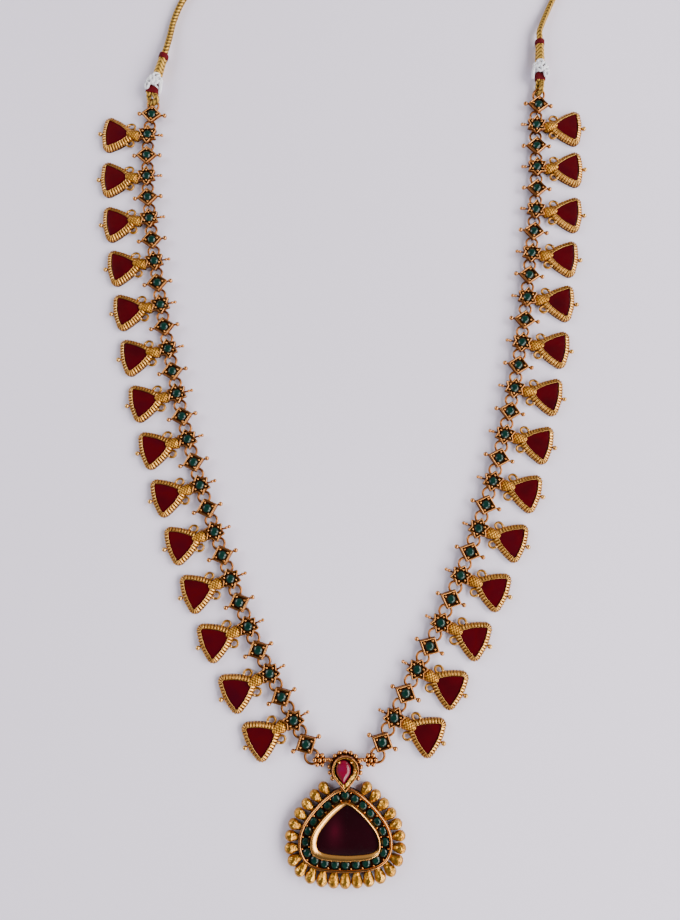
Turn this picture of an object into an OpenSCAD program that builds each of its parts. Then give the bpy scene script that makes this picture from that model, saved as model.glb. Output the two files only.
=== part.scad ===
// Temple necklace lying on a surface, as one loop.
// Each side is a chain of six-petalled flower links, each soldered to a triangular glass drop,
// with square links between them. Both chains end at a rounded triangular pendant.
// A thread cord closes the loop at the back of the neck.
// Millimetres. +Y runs from the pendant to the cord, +Z away from the surface at z = 0.

/* [Jump rings and eyes] */
// Thickness of the wire of a jump ring
ring_wire = 0.8; // [0.7:0.05:0.85]
// Height of the jump rings above the surface, to the middle of the wire
ring_height = 1.0; // [0.95:0.05:1.05]
// Distance from the middle of a link to the eyes below its two ends
eye_reach = 2.5; // [2.4:0.05:2.6]
// Play around the ring wire inside an eye
eye_play = 0.2; // [0.15:0.05:0.2]
// Thickness of the wire of an eye
eye_wire = 0.4; // [0.35:0.05:0.45]

/* [Flower links] */
// Radius of the flower to its petal tips
flower_radius = 3.5; // [3.3:0.05:3.6]
// Height of the raised petal wire above the surface
flower_top = 3.2; // [3.1:0.05:3.4]
// Thickness of the raised petal wire
petal_wire = 0.42; // [0.35:0.01:0.5]
// Radius of the small round prongs
prong_radius = 0.4; // [0.34:0.02:0.42]
// Radius of the round green stones of the chain
link_stone_radius = 1.4; // [1.3:0.05:1.45]

/* [Square links] */
// Half diagonal of a square link across the chain
square_across = 3.9; // [3.7:0.05:4.0]
// Half diagonal of a square link along the chain
square_along = 3.5; // [3.3:0.05:3.6]
// Radius of the ball on each side of a square link
finial_radius = 0.8; // [0.7:0.05:0.85]

/* [Glass drops] */
// Distance from the flower's middle to the rounded tip of the drop frame
drop_tip = 5.2; // [5:0.1:5.4]
// Distance from the flower's middle to the outer edge of the drop frame
drop_base = 18.4; // [18:0.1:18.6]
// Half width of the drop frame
drop_half_width = 7.4; // [7.2:0.1:7.6]
// Radius of the two outer corners of the drop frame
drop_corner = 2.7; // [2.5:0.05:2.9]
// Radius of the drop frame's tip
tip_corner = 2.3; // [2.3:0.05:2.5]
// Width of the ribbed border around the glass
border_width = 1.9; // [1.7:0.05:1.9]
// Height of the inner lip of the border
drop_top = 2.7; // [2.6:0.05:2.9]
// Radius of the cap over the tip of the drop
cap_radius = 2.6; // [2.4:0.05:2.7]
// Distance from the flower's middle to the open end of the cap
cap_mouth = 8.0; // [7.8:0.1:8.2]

/* [Pendant] */
// Height of the raised rim
rim_top = 3.9; // [3.6:0.1:4.1]
// Width of the rim
rim_width = 0.6; // [0.55:0.05:0.7]
// Height of the bezel around the dark stone
bezel_top = 5.3; // [5:0.1:5.5]
// Distance from the rim's outer edge to the foot of the bezel
bezel_foot = 3.9; // [3.8:0.05:4]
// Radius of the round end of a petal drop
petal_radius = 1.88; // [1.7:0.02:1.9]
// Radius of the round green stones between rim and bezel
halo_stone_radius = 1.35; // [1.25:0.05:1.4]
// Radius of the pear-shaped crown bezel
crown_radius = 4.4; // [4.3:0.05:4.5]
// Height of the crown bezel
crown_top = 4.8; // [4.6:0.1:5]
// Radius of the granules around the crown
granule_radius = 0.8; // [0.74:0.01:0.84]

/* [Cord] */
// Diameter of the thread cord
cord_diameter = 2.2; // [2:0.1:2.2]
// Diameter of each strand of the loops that hold the end rings
strand_diameter = 1.6; // [1.5:0.05:1.6]
// Gap between the cord and the pieces bound around it
binding_gap = 0.15; // [0.12:0.01:0.2]

/* [Hidden] */
// Gap between a stone and its setting
stone_gap = 0.1;
links = 29;
drops = 14;
stations = 2 * (links - 1);
sides = ["left", "right"];

// Middle line of each chain, from its last square link at the pendant to the one at the cord
chain_route = [
    [[-12.6, -103.2], [-26, -78.8], [-34, -62.3], [-46.6, -29.4], [-57.5, 4.5],
     [-66.2, 39.9], [-73, 76.2], [-76.9, 105.2], [-77.7, 128.5], [-76.4, 137.2]],
    [[13.9, -102.6], [26.3, -78.4], [35.1, -62.2], [49.3, -29.3], [60.3, 5.5],
     [68.1, 40.7], [73.4, 77], [76.7, 103.2], [77.9, 133.5], [79.1, 141.6]]];

// Middle line of the cord, from the left white knot round the back of the neck to the right one
cord_height = cord_diameter / 2 + 0.05;
end_height = 2.6;
cord_route = [
    [-76.03, 148.9, end_height], [-74.9, 153.4, end_height], [-73.4, 159.4, end_height],
    [-71.9, 165.4, end_height], [-71.4, 167.4, end_height], [-70.6, 173, 1.7],
    [-69.3, 181, cord_height], [-65.5, 191, cord_height], [-56, 207, cord_height],
    [-41, 224, cord_height], [-21, 239, cord_height], [3, 249, cord_height],
    [29, 253, cord_height], [55, 250, cord_height], [76, 239, cord_height],
    [89, 222, cord_height], [92, 205, cord_height], [89.3, 194.5, cord_height],
    [86, 187, cord_height], [83, 180, 1.7], [80.9, 174.3, end_height],
    [80.8, 171.3, end_height], [80.6, 165.3, end_height], [80.4, 159.3, end_height],
    [80.25, 154.8, end_height]];
cord_rings = 62;
cord_sides = 8;

function two_digits(i) = str(i < 10 ? "0" : "", i);
function drop_name(side, i) = str(side, "_drop_link_", two_digits(i));

gold = [0.80, 0.56, 0.22];
glass_red = [0.28, 0.03, 0.06];
glass_green = [0.02, 0.25, 0.17];
ruby = [0.62, 0.05, 0.24];
maroon = [0.42, 0.04, 0.10];
white = [0.88, 0.88, 0.90];
thread_gold = [0.72, 0.60, 0.28];

// Curves through points, and even steps along them

function unit(v) = v / norm(v);
function left_of(v) = [-v[1], v[0]];
function angle_of(v) = atan2(v[1], v[0]);

function curve_point(a, b, c, d, t) =
    0.5 * (2 * b + (c - a) * t + (2 * a - 5 * b + 4 * c - d) * t * t
           + (3 * b - a - 3 * c + d) * t * t * t);

function open_curve(p, steps) =
    let (last = len(p) - 1)
    [for (i = [0:last - 1]) for (k = [0:steps - 1])
        curve_point(p[max(i - 1, 0)], p[i], p[i + 1], p[min(i + 2, last)], k / steps), p[last]];

function closed_curve(p, steps) =
    let (n = len(p))
    [for (i = [0:n - 1]) for (k = [0:steps - 1])
        curve_point(p[(i + n - 1) % n], p[i], p[(i + 1) % n], p[(i + 2) % n], k / steps)];

function run_lengths(p) =
    [for (i = 0, s = 0; i < len(p); s = s + norm(p[min(i + 1, len(p) - 1)] - p[i]), i = i + 1) s];

function point_at(p, runs, s) =
    let (i = max([for (k = [0:len(p) - 2]) if (runs[k] <= s) k]))
    p[i] + (p[i + 1] - p[i]) * (s - runs[i]) / (runs[i + 1] - runs[i]);

function even_points(p, count) =
    let (runs = run_lengths(p), total = runs[len(runs) - 1])
    [for (k = [0:count]) k == count ? p[len(p) - 1] : point_at(p, runs, total * k / count)];

// Moves a closed outline inward along its normals
function inset(p, depth) =
    let (n = len(p))
    [for (i = [0:n - 1]) p[i] + depth * left_of(unit(p[(i + 1) % n] - p[(i + n - 1) % n]))];

function at_height(outline, z) = [for (p = outline) [p[0], p[1], z]];

// Solid through stacked rings of points, closed at both ends
module loft(rings) {
    n = len(rings[0]);
    m = len(rings);
    wall = [for (i = [0:m - 2]) for (j = [0:n - 1]) let (k = (j + 1) % n)
        each [[i * n + j, (i + 1) * n + j, (i + 1) * n + k], [i * n + j, (i + 1) * n + k, i * n + k]]];
    polyhedron(
        points = [for (ring = rings) each ring],
        faces = concat([[for (j = [0:n - 1]) j]], wall, [[for (j = [0:n - 1]) m * n - 1 - j]]),
        convexity = 4);
}

// Rings of a round tube along a path, with the first side facing the given direction
function tube_rings(path, radius, facing, count) =
    let (last = len(path) - 1)
    [for (i = [0:last])
        let (run = unit(path[min(i + 1, last)] - path[max(i - 1, 0)]),
             first = unit(facing - (facing * run) * run),
             second = cross(run, first))
        [for (j = [0:count - 1])
            path[i] + radius * (cos(360 * j / count) * first + sin(360 * j / count) * second)]];

// Chain stations: even numbers are links, odd numbers are the rings between them

function chain(side) = even_points(open_curve(chain_route[side], 6), stations);
chains = [chain(0), chain(1)];

function flat(p) = [p[0], p[1]];
function cord_start(side) = flat(cord_route[side == 0 ? 0 : len(cord_route) - 1]);
function cord_run(side) =
    unit(flat(cord_route[side == 0 ? 1 : len(cord_route) - 2]) - cord_start(side));
function station_run(side, k) =
    unit((k < stations ? chains[side][k + 1] : cord_start(side)) - chains[side][max(k - 1, 0)]);
function half_pitch(side) = norm(chains[side][1] - chains[side][0]);
function ring_radius(side) = half_pitch(side) - eye_reach;
function outward(side) = side == 0 ? 1 : -1;

// Puts a link at its station, with +X away from the neck and +Y along the chain to the cord
module at_link(side, k) {
    run = station_run(side, 2 * k);
    translate(chains[side][2 * k])
        rotate(angle_of(outward(side) * left_of(run)))
            children();
}

// Jump rings and the eyes that they pass through

eye_bore = ring_wire / 2 + eye_play;
eye_outer = eye_bore + eye_wire;
plate_under = ring_height + eye_outer - 0.2;
plate_thickness = 0.45;
plate_over = plate_under + plate_thickness;
post_radius = eye_reach - eye_outer - 0.1;
cord_ring_tilt = 18.5;
pendant_ring_radius = 2.4;

module round_ring(radius, wire) {
    rotate_extrude($fn = 48)
        translate([radius, 0])
            circle(d = wire, $fn = 16);
}

module tube(outer, bore, length) {
    rotate_extrude($fn = 32)
        translate([bore, -length / 2])
            square([outer - bore, length]);
}

// Upright eye whose opening faces along X
module eye() {
    translate([0, 0, ring_height])
        rotate([0, 90, 0])
            tube(eye_outer, eye_bore, eye_wire);
}

module link_foot() {
    cylinder(r = post_radius, h = plate_under + 0.1, $fn = 32);
    for (end = [-1, 1])
        translate([0, end * eye_reach])
            eye();
}

function cord_eye(side) = chains[side][stations] + eye_reach * station_run(side, stations);
function cord_ring_run(side) = unit(cord_start(side) - cord_eye(side));
function cord_ring_far(side) =
    cord_eye(side) + 2 * ring_radius(side) * cos(cord_ring_tilt) * cord_ring_run(side);
function cord_ring_far_height(side) = ring_height + 2 * ring_radius(side) * sin(cord_ring_tilt);

function pendant_eye(side) = chains[side][0] - eye_reach * station_run(side, 0);
function pendant_ring_middle(side) =
    let (a = pendant_eye(side), b = rosette_eye(side), half = norm(b - a) / 2,
         sag = sqrt(pendant_ring_radius * pendant_ring_radius - half * half))
    (a + b) / 2 - outward(side) * sag * left_of(unit(b - a));

module jump_rings(side) {
    color(gold) {
        for (k = [1:2:stations - 1])
            translate([chains[side][k][0], chains[side][k][1], ring_height])
                round_ring(ring_radius(side), ring_wire);
        translate([cord_eye(side)[0], cord_eye(side)[1], ring_height])
            rotate([0, -cord_ring_tilt, angle_of(cord_ring_run(side))])
                translate([ring_radius(side), 0])
                    round_ring(ring_radius(side), ring_wire);
        translate([pendant_ring_middle(side)[0], pendant_ring_middle(side)[1], ring_height])
            round_ring(pendant_ring_radius, ring_wire);
    }
}

// Round cut stone with an octagonal table and eight facets above and below its girdle

girdle_rise = 0.45;
table_rise = 0.9;
table_share = 0.6;
culet_share = 0.55;

module cut_stone(radius, base) {
    translate([0, 0, base]) {
        cylinder(r1 = culet_share * radius, r2 = radius, h = girdle_rise, $fn = 8);
        translate([0, 0, girdle_rise])
            cylinder(r1 = radius, r2 = table_share * radius, h = table_rise - girdle_rise, $fn = 8);
    }
}

module link_stone() {
    cut_stone(link_stone_radius, plate_over + stone_gap);
}

module prongs(count, reach, first) {
    for (i = [0:count - 1])
        rotate(first + 360 * i / count)
            translate([reach, 0, plate_over + 0.85 * prong_radius])
                sphere(prong_radius, $fn = 16);
}

// Flower link

// Shape of one petal: angle from its tip, and share of the flower's radius
petal_shape = [[-21, 0.68], [-9, 0.9], [0, 1], [9, 0.9], [21, 0.68], [30, 0.56]];
petals = 6;
leaf_shape = [3.2, 2.2];
prong_reach = link_stone_radius + prong_radius + 0.2;
finial_stub = 0.35;
finial_height = plate_under + 0.2;

function flower_outline(radius) =
    [for (i = [0:petals - 1]) for (row = petal_shape)
        let (a = 90 + 360 * i / petals + row[0]) radius * row[1] * [cos(a), sin(a)]];

// Leaves of the lower layer, between the petals
function leaf_outline() =
    [for (i = [0:2 * petals - 1]) let (a = 60 + 180 * i / petals) leaf_shape[i % 2] * [cos(a), sin(a)]];

module band(outer, inner, height) {
    n = len(outer);
    linear_extrude(height)
        polygon(concat(outer, inner), paths = [[for (i = [0:n - 1]) i],
                                               [for (i = [0:len(inner) - 1]) n + i]]);
}

module flower() {
    inner = flower_radius - petal_wire / 0.8;
    link_foot();
    translate([0, 0, plate_under])
        linear_extrude(plate_thickness - 0.1)
            polygon(leaf_outline());
    translate([0, 0, plate_under + 0.1]) {
        linear_extrude(plate_thickness - 0.1)
            polygon(flower_outline((flower_radius + inner) / 2));
        band(flower_outline(flower_radius), flower_outline(inner), flower_top - plate_under - 0.1);
    }
    prongs(petals, prong_reach, 90);
}

// Ball, smaller ball and stub on the neck side of the flower
module flower_finial() {
    large = 0.75;
    small = 0.5;
    large_reach = 4.1;
    small_reach = 5.2;
    translate([-small_reach, 0, finial_height])
        rotate([0, 90, 0]) {
            cylinder(r = finial_stub, h = small_reach - 1, $fn = 16);
            sphere(small, $fn = 24);
            translate([0, 0, small_reach - large_reach])
                sphere(large, $fn = 24);
        }
}

// Glass drop: frame, cap, scrolls and edge ball, along +X from the flower

cap_back = 2.8;
cap_axis = 0.7;
// Cap profile: share of its length, share of its radius
cap_shape = [[0, 0.5], [0.07, 0.66], [0.16, 0.79], [0.28, 0.89], [0.42, 0.96], [0.6, 1], [0.85, 1.02],
             [1, 0.98]];
lip_width = 0.3;
pocket_floor = 0.8;
corner_steps = 3;
side_bulge = 0.35;
glass_sink = 0.3;
tip_middle = [drop_tip + tip_corner, 0];
base_middle = [drop_base - side_bulge - drop_corner, drop_half_width - drop_corner];
side_slope = angle_of(base_middle - tip_middle)
             + asin((drop_corner - tip_corner) / norm(base_middle - tip_middle));

function corner_arc(middle, radius, from, to) =
    [for (i = [0:corner_steps]) let (a = from + (to - from) * i / corner_steps)
        middle + radius * [cos(a), sin(a)]];

// Points along a slightly bulging side that faces an angle, between two round corners
function side_points(from, to, from_radius, to_radius, facing) =
    [for (t = [0.33, 0.67])
        let (out = from_radius + (to_radius - from_radius) * t + 4 * side_bulge * t * (1 - t))
        from + (to - from) * t + out * [cos(facing), sin(facing)]];

// Outline of the drop, inset by depth, counterclockwise
function drop_outline(depth) =
    let (r = drop_corner - depth,
         tip = tip_corner - depth,
         upper = base_middle,
         lower = [base_middle[0], -base_middle[1]])
    concat(
        corner_arc(lower, r, -90 - side_slope, 0),
        side_points(lower, upper, r, r, 0),
        corner_arc(upper, r, 0, 90 + side_slope),
        side_points(upper, tip_middle, r, tip, 90 + side_slope),
        corner_arc(tip_middle, tip, 90 + side_slope, 270 - side_slope),
        side_points(tip_middle, lower, tip, r, 270 - side_slope));

module drop_frame() {
    edge_height = drop_top - 0.65;
    loft([
        at_height(drop_outline(0.15), 0),
        at_height(drop_outline(0), edge_height - 0.75),
        at_height(drop_outline(0.3), edge_height),
        at_height(drop_outline(border_width - lip_width), drop_top),
        at_height(drop_outline(border_width), pocket_floor)]);
}

// Solid of revolution of the cap, grown by a margin, with everything below the surface cut off
module cap(margin) {
    length = cap_mouth - cap_back;
    profile = [for (row = cap_shape)
        [cap_radius * row[1] + margin, cap_back + length * row[0] + margin * (row[0] == 1 ? 1 : 0)]];
    last = profile[len(profile) - 1];
    difference() {
        translate([0, 0, cap_axis])
            rotate([0, 90, 0])
                rotate_extrude($fn = 40)
                    polygon(concat([[0, last[1]], [0, cap_back]], profile));
        translate([0, -cap_mouth, -2 * cap_mouth])
            cube(2 * cap_mouth);
    }
}

module scroll(hand) {
    wire = 0.6;
    radius = 1.2;
    ball = 0.46;
    middle = [cap_mouth - 1, hand * (cap_radius + radius - 0.25)];
    open_angle = 25;
    translate([middle[0], middle[1], cap_axis + 0.5])
        mirror([0, hand < 0 ? 1 : 0, 0])
            rotate(open_angle) {
                rotate_extrude(angle = 300, $fn = 32)
                    translate([radius, 0])
                        circle(d = wire, $fn = 16);
                translate([radius, 0])
                    sphere(ball, $fn = 20);
            }
}

module edge_ball() {
    radius = 0.85;
    out = 0.9;
    root = 0.8;
    translate([drop_base - root, 0, drop_top / 2])
        rotate([0, 90, 0]) {
            cylinder(r = finial_stub, h = root + out, $fn = 16);
            translate([0, 0, root + out])
                sphere(radius, $fn = 24);
        }
}

module neck_bar() {
    width = 1.8;
    translate([post_radius - 0.5, -width / 2, 0.2])
        cube([drop_tip + 1 - post_radius, width, plate_under - 0.1]);
}

module drop_link(side, i) {
    color(gold)
        at_link(side, 2 * i - 1) {
            flower();
            flower_finial();
            neck_bar();
            cap(0);
            for (hand = [-1, 1])
                scroll(hand);
            drop_frame();
            edge_ball();
        }
}

module drop_stone() {
    base = pocket_floor + stone_gap;
    bevel = 0.25;
    table = drop_top - glass_sink;
    difference() {
        union() {
            translate([0, 0, base])
                linear_extrude(table - bevel - base)
                    polygon(drop_outline(border_width + stone_gap));
            translate([0, 0, base])
                linear_extrude(table - base)
                    polygon(drop_outline(border_width + stone_gap + bevel));
        }
        cap(stone_gap);
    }
}

module drop_stones(side) {
    color(glass_red)
        for (i = [1:drops])
            at_link(side, 2 * i - 1)
                drop_stone();
}

module flower_stones(side) {
    color(glass_green)
        for (i = [1:drops])
            at_link(side, 2 * i - 1)
                rotate(22.5)
                    link_stone();
}

// Square links

square_wall = 0.42;

function square_outline(depth) =
    let (x = square_across - depth * norm([square_across, square_along]) / square_along,
         y = square_along - depth * norm([square_across, square_along]) / square_across)
    [[x, 0], [0, y], [-x, 0], [0, -y]];

module square_link() {
    finial_out = 0.95;
    root = 0.6;
    link_foot();
    translate([0, 0, plate_under])
        linear_extrude(plate_thickness)
            polygon(square_outline(square_wall / 2));
    translate([0, 0, plate_under])
        band(square_outline(0), square_outline(square_wall), flower_top - plate_under);
    prongs(4, prong_reach, 0);
    for (hand = [-1, 1])
        translate([hand * (square_across - root), 0, finial_height])
            rotate([0, hand * 90, 0]) {
                cylinder(r = finial_stub, h = root + finial_out, $fn = 16);
                translate([0, 0, root + finial_out])
                    sphere(finial_radius, $fn = 24);
            }
}

module square_links(side) {
    color(gold)
        for (k = [0:2:links - 1])
            at_link(side, k)
                square_link();
}

module square_stones(side) {
    color(glass_green)
        for (k = [0:2:links - 1])
            at_link(side, k)
                rotate(22.5)
                    link_stone();
}

// Pendant

pendant_at = [1, -117.4];
// Right half of the rim's outer edge, from the bottom up, measured from its top point
rim_half = [[3.8, -26.5], [7.6, -26.1], [10.6, -25.3], [13.2, -23.8], [14.6, -22.2], [15.6, -19.8],
            [15.8, -17.4], [15.4, -14.5], [14.1, -11.4], [12, -8.5], [9.4, -5.6], [6.5, -3], [3.4, -0.9]];
rim_bottom = [0, -26.65];
rim_points = len(rim_half);
rim_outline = closed_curve(
    concat([rim_bottom], rim_half, [[0, 0]],
           [for (i = [rim_points - 1:-1:0]) [-rim_half[i][0], rim_half[i][1]]]), 2);

pendant_floor = 2.6;
halo_depth = rim_width + stone_gap + halo_stone_radius;
halo_prong_outer = 1;
halo_prong_inner = 1.25;
halo_count = 22;
halo_height = pendant_floor + stone_gap;
petal_out = 3.0;
petal_pitch = 3.93;
petals_a_side = 12;
petal_length = 5.1;
petal_tip_radius = 0.7;
stone_inset = bezel_foot + 1.55;

function closed(p) = concat(p, [p[0]]);

// Points and outward directions every so often along a closed outline
module along_outline(outline, distances) {
    p = closed(outline);
    runs = run_lengths(p);
    total = runs[len(runs) - 1];
    for (d = distances) {
        s = d < 0 ? d + total : d;
        here = point_at(p, runs, s);
        before = point_at(p, runs, max(s - 0.3, 0));
        after = point_at(p, runs, min(s + 0.3, total - 0.01));
        translate(here)
            rotate(angle_of(-left_of(unit(after - before))))
                children();
    }
}

// Teardrop of revolution that points inward along -X, its round end outward
module petal() {
    tip = petal_length - petal_radius;
    lean = asin((petal_radius - petal_tip_radius) / tip);
    translate([0, 0, petal_radius + 0.05])
        rotate([0, 90, 0])
            rotate_extrude($fn = 32)
                polygon(concat(
                    [[0, -tip], [petal_tip_radius * cos(lean), -tip]],
                    [for (i = [0:8]) let (a = -lean + (90 + lean) * i / 8)
                        i == 8 ? [0, petal_radius] : petal_radius * [cos(a), sin(a)]]));
}

module halo_prong() {
    radius = 0.36;
    height = pendant_floor + 0.75;
    translate([0, 0, pendant_floor - 0.1])
        cylinder(r = 0.28, h = height - pendant_floor + 0.1, $fn = 16);
    translate([0, 0, height])
        sphere(radius, $fn = 16);
}

module bezel() {
    loft([
        at_height(inset(rim_outline, bezel_foot), pendant_floor - 0.2),
        at_height(inset(rim_outline, bezel_foot + 0.1), bezel_top - 0.5),
        at_height(inset(rim_outline, bezel_foot + 0.4), bezel_top),
        at_height(inset(rim_outline, bezel_foot + 0.6), bezel_top),
        at_height(inset(rim_outline, stone_inset - 0.1), bezel_top - 0.6),
        at_height(inset(rim_outline, stone_inset - 0.1), pendant_floor + 0.4)]);
}

function run_total(outline) = let (runs = run_lengths(closed(outline))) runs[len(runs) - 1];

module pendant_body() {
    linear_extrude(pendant_floor)
        polygon(rim_outline);
    band(rim_outline, inset(rim_outline, rim_width), rim_top - 0.15);
    band(inset(rim_outline, 0.12), inset(rim_outline, rim_width - 0.12), rim_top);
    along_outline(inset(rim_outline, -petal_out),
                  [for (i = [-petals_a_side:petals_a_side]) i * petal_pitch])
        petal();
    for (depth = [halo_depth - halo_prong_outer, halo_depth + halo_prong_inner]) {
        path = inset(rim_outline, depth);
        along_outline(path, [for (i = [0:halo_count - 1]) (i + 0.5) * run_total(path) / halo_count])
            halo_prong();
    }
    bezel();
}

// Pear-shaped crown above the rim, measured from the middle of its round part

crown_middle = [0, 6.1];
crown_tip = 6.9;
crown_wall = 0.75;
crown_floor = 2.6;
crown_plate = 1.3;
granule_reach = crown_radius + 1;
granule_step = 21;
granules_a_side = 6;
crown_prong_radius = 0.45;
ruby_radius = 3.0;

function pear_outline(radius) =
    let (point = crown_tip * radius / crown_radius, meet = acos(radius / point))
    concat([for (i = [0:16]) let (a = -90 + meet + (360 - 2 * meet) * i / 16) radius * [cos(a), sin(a)]],
           [[0, -point]]);

module crown() {
    translate(crown_middle) {
        cylinder(r = granule_reach - 0.1, h = crown_plate, $fn = 48);
        linear_extrude(crown_floor)
            polygon(pear_outline(crown_radius));
        band(pear_outline(crown_radius), pear_outline(crown_radius - crown_wall), crown_top - 0.3);
        band(pear_outline(crown_radius - 0.2), pear_outline(crown_radius - crown_wall), crown_top);
        for (i = [-granules_a_side:granules_a_side])
            rotate(90 + i * granule_step)
                translate([granule_reach, 0, crown_plate + 0.55])
                    sphere(granule_radius, $fn = 20);
        for (prong = [[50, crown_radius - 0.9], [130, crown_radius - 0.9], [262, crown_tip - 1.9]])
            rotate(prong[0])
                translate([prong[1], 0, crown_top - 0.06])
                    sphere(crown_prong_radius, $fn = 16);
    }
}

// Rosettes of seven granules that stand beside the crown and hold the last rings

rosette_reach = 8.8;
rosette_level = 9.0;
rosette_ball = 0.72;
rosette_radius = 1.6;
rosette_eye_out = 0.55;
rosette_eye_down = 0.2;
bar_inner = 3;
bar_width = 1.3;
bar_height = 0.9;
bar_drop = 0.6;

function rosette_middle(side) = [-outward(side) * rosette_reach, rosette_level];
function rosette_eye(side) =
    pendant_at + rosette_middle(side) - [outward(side) * rosette_eye_out, rosette_eye_down];

module rosette(side) {
    middle = rosette_middle(side);
    translate([middle[0], middle[1], plate_under]) {
        cylinder(r = rosette_radius + 0.35, h = plate_thickness, $fn = 32);
        translate([0, 0, plate_thickness + 0.4]) {
            sphere(rosette_ball, $fn = 20);
            for (i = [0:5])
                rotate(60 * i)
                    translate([rosette_radius, 0, -0.15])
                        sphere(rosette_ball, $fn = 20);
        }
    }
    translate([side == 0 ? middle[0] + 1 : bar_inner, middle[1] - bar_width / 2, plate_under - bar_drop])
        cube([rosette_reach - 1 - bar_inner, bar_width, bar_height]);
    translate(rosette_eye(side) - pendant_at)
        rotate(angle_of(rosette_eye(side) - pendant_ring_middle(side)) + 90)
            eye();
}

module pendant_frame() {
    color(gold)
        translate(pendant_at) {
            pendant_body();
            crown();
            for (side = [0, 1])
                rosette(side);
        }
}

module pendant_stone() {
    base = pendant_floor + 0.4 + stone_gap;
    edge = bezel_top - 0.8;
    color([0.10, 0.01, 0.03])
        translate(pendant_at)
            loft([
                at_height(inset(rim_outline, stone_inset), base),
                at_height(inset(rim_outline, stone_inset), edge),
                at_height(inset(rim_outline, stone_inset + 0.5), edge + 0.3)]);
}

module crown_stone() {
    base = crown_floor + stone_gap;
    color(ruby)
        translate(pendant_at + crown_middle)
            loft([
                at_height(pear_outline(0.8 * ruby_radius), base),
                at_height(pear_outline(ruby_radius), base + 0.8),
                at_height(pear_outline(0.9 * ruby_radius), crown_top - 0.7),
                at_height(pear_outline(0.55 * ruby_radius), crown_top - 0.25)]);
}

module halo_stones() {
    path = inset(rim_outline, halo_depth);
    color(glass_green)
        translate(pendant_at)
            along_outline(path, [for (i = [0:halo_count - 1]) i * run_total(path) / halo_count])
                rotate(22.5)
                    cut_stone(halo_stone_radius, halo_height);
}

// Cord and what is bound around it, placed along the straight ends of its route

binding_bore = cord_diameter / 2 + binding_gap;
lower_binding_at = -1.5;
lower_binding_length = 2.6;
knot_at = 2;
knot_length = 3.8;
sleeve_at = 8.5;
sleeve_length = 8.6;
upper_binding_at = 14.1;
upper_binding_length = 2.2;

// Puts a piece on the cord, with +X along the cord away from the chain
module on_cord(side, distance) {
    middle = cord_start(side) + distance * cord_run(side);
    translate([middle[0], middle[1], end_height])
        rotate([0, 90, angle_of(cord_run(side))])
            children();
}

// Outline with two round ends, longer along Y
function stadium(half_gap, radius) =
    [for (end = [-1, 1]) for (i = [0:12]) let (a = 90 * end - 90 + 15 * i)
        [0, end * half_gap] + radius * [cos(a), sin(a)]];

module lower_binding(side) {
    color(maroon)
        on_cord(side, lower_binding_at)
            translate([0, 0, -lower_binding_length / 2])
                band(stadium(strand_spread, strand_diameter / 2 + binding_gap + binding_wall),
                     stadium(strand_spread, strand_diameter / 2 + binding_gap), lower_binding_length);
}

module white_knot(side) {
    color(white)
        on_cord(side, knot_at) {
            tube(1.95, binding_bore, knot_length);
            for (turn = [-1, 0, 1])
                translate([0, 0, turn * 1.1])
                    rotate([18 - 30 * turn * turn, 14 * turn, 0])
                        round_ring(1.9, 1);
        }
}

module cord_sleeve(side) {
    color(thread_gold)
        on_cord(side, sleeve_at)
            tube(1.7, binding_bore, sleeve_length);
}

module upper_binding(side) {
    color(maroon)
        on_cord(side, upper_binding_at)
            tube(1.65, binding_bore, upper_binding_length);
}

// Loop of the strand around the end ring, from the binding over the ring wire and back below it
strand_gap = 0.15;
strand_spread = strand_diameter / 2 + 0.08;
strand_turn = ring_wire / 2 + strand_diameter / 2 + strand_gap;
binding_wall = 0.45;

function in_frame(origin, run, p) =
    [origin[0] + p[0] * run[0] - p[1] * run[1], origin[1] + p[0] * run[1] + p[1] * run[0], p[2]];

function loop_path(side) =
    let (wire = cord_ring_far_height(side),
         ends = [[-0.15, 1], [lower_binding_at, 1], [2 * lower_binding_at, 0.95]],
         over = [[0.25, -0.2 * strand_spread, wire + strand_turn],
                 [-0.8 * strand_turn, -0.1 * strand_spread, wire + 0.75 * strand_turn],
                 [-1.1 * strand_turn, 0, wire],
                 [-0.8 * strand_turn, 0.1 * strand_spread, wire - 0.7 * strand_turn],
                 [0.25, 0.2 * strand_spread, wire - strand_turn]])
    concat(
        [for (p = ends) in_frame(cord_start(side), cord_run(side), [p[0], -p[1] * strand_spread, end_height])],
        [for (p = over) in_frame(cord_ring_far(side), cord_ring_run(side), p)],
        [for (i = [2:-1:0]) in_frame(cord_start(side), cord_run(side),
                                     [ends[i][0], ends[i][1] * strand_spread, end_height])]);

module cord_loop(side) {
    color(thread_gold)
        loft(tube_rings(even_points(open_curve(loop_path(side), 4), 20),
                        strand_diameter / 2, [0, 0, 1], cord_sides));
}

module neck_cord() {
    color(thread_gold)
        loft(tube_rings(even_points(open_curve(cord_route, 6), cord_rings),
                        cord_diameter / 2, [0, 0, 1], cord_sides));
}

pendant_frame();
pendant_stone();
crown_stone();
halo_stones();
for (side = [0, 1]) {
    for (i = [1:drops])
        drop_link(side, i);
    drop_stones(side);
    flower_stones(side);
    square_links(side);
    square_stones(side);
    jump_rings(side);
    cord_loop(side);
    lower_binding(side);
    white_knot(side);
    cord_sleeve(side);
    upper_binding(side);
}
neck_cord();
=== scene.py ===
"""Looks of a temple necklace that lies on a pale surface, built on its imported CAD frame."""
import math

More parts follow.
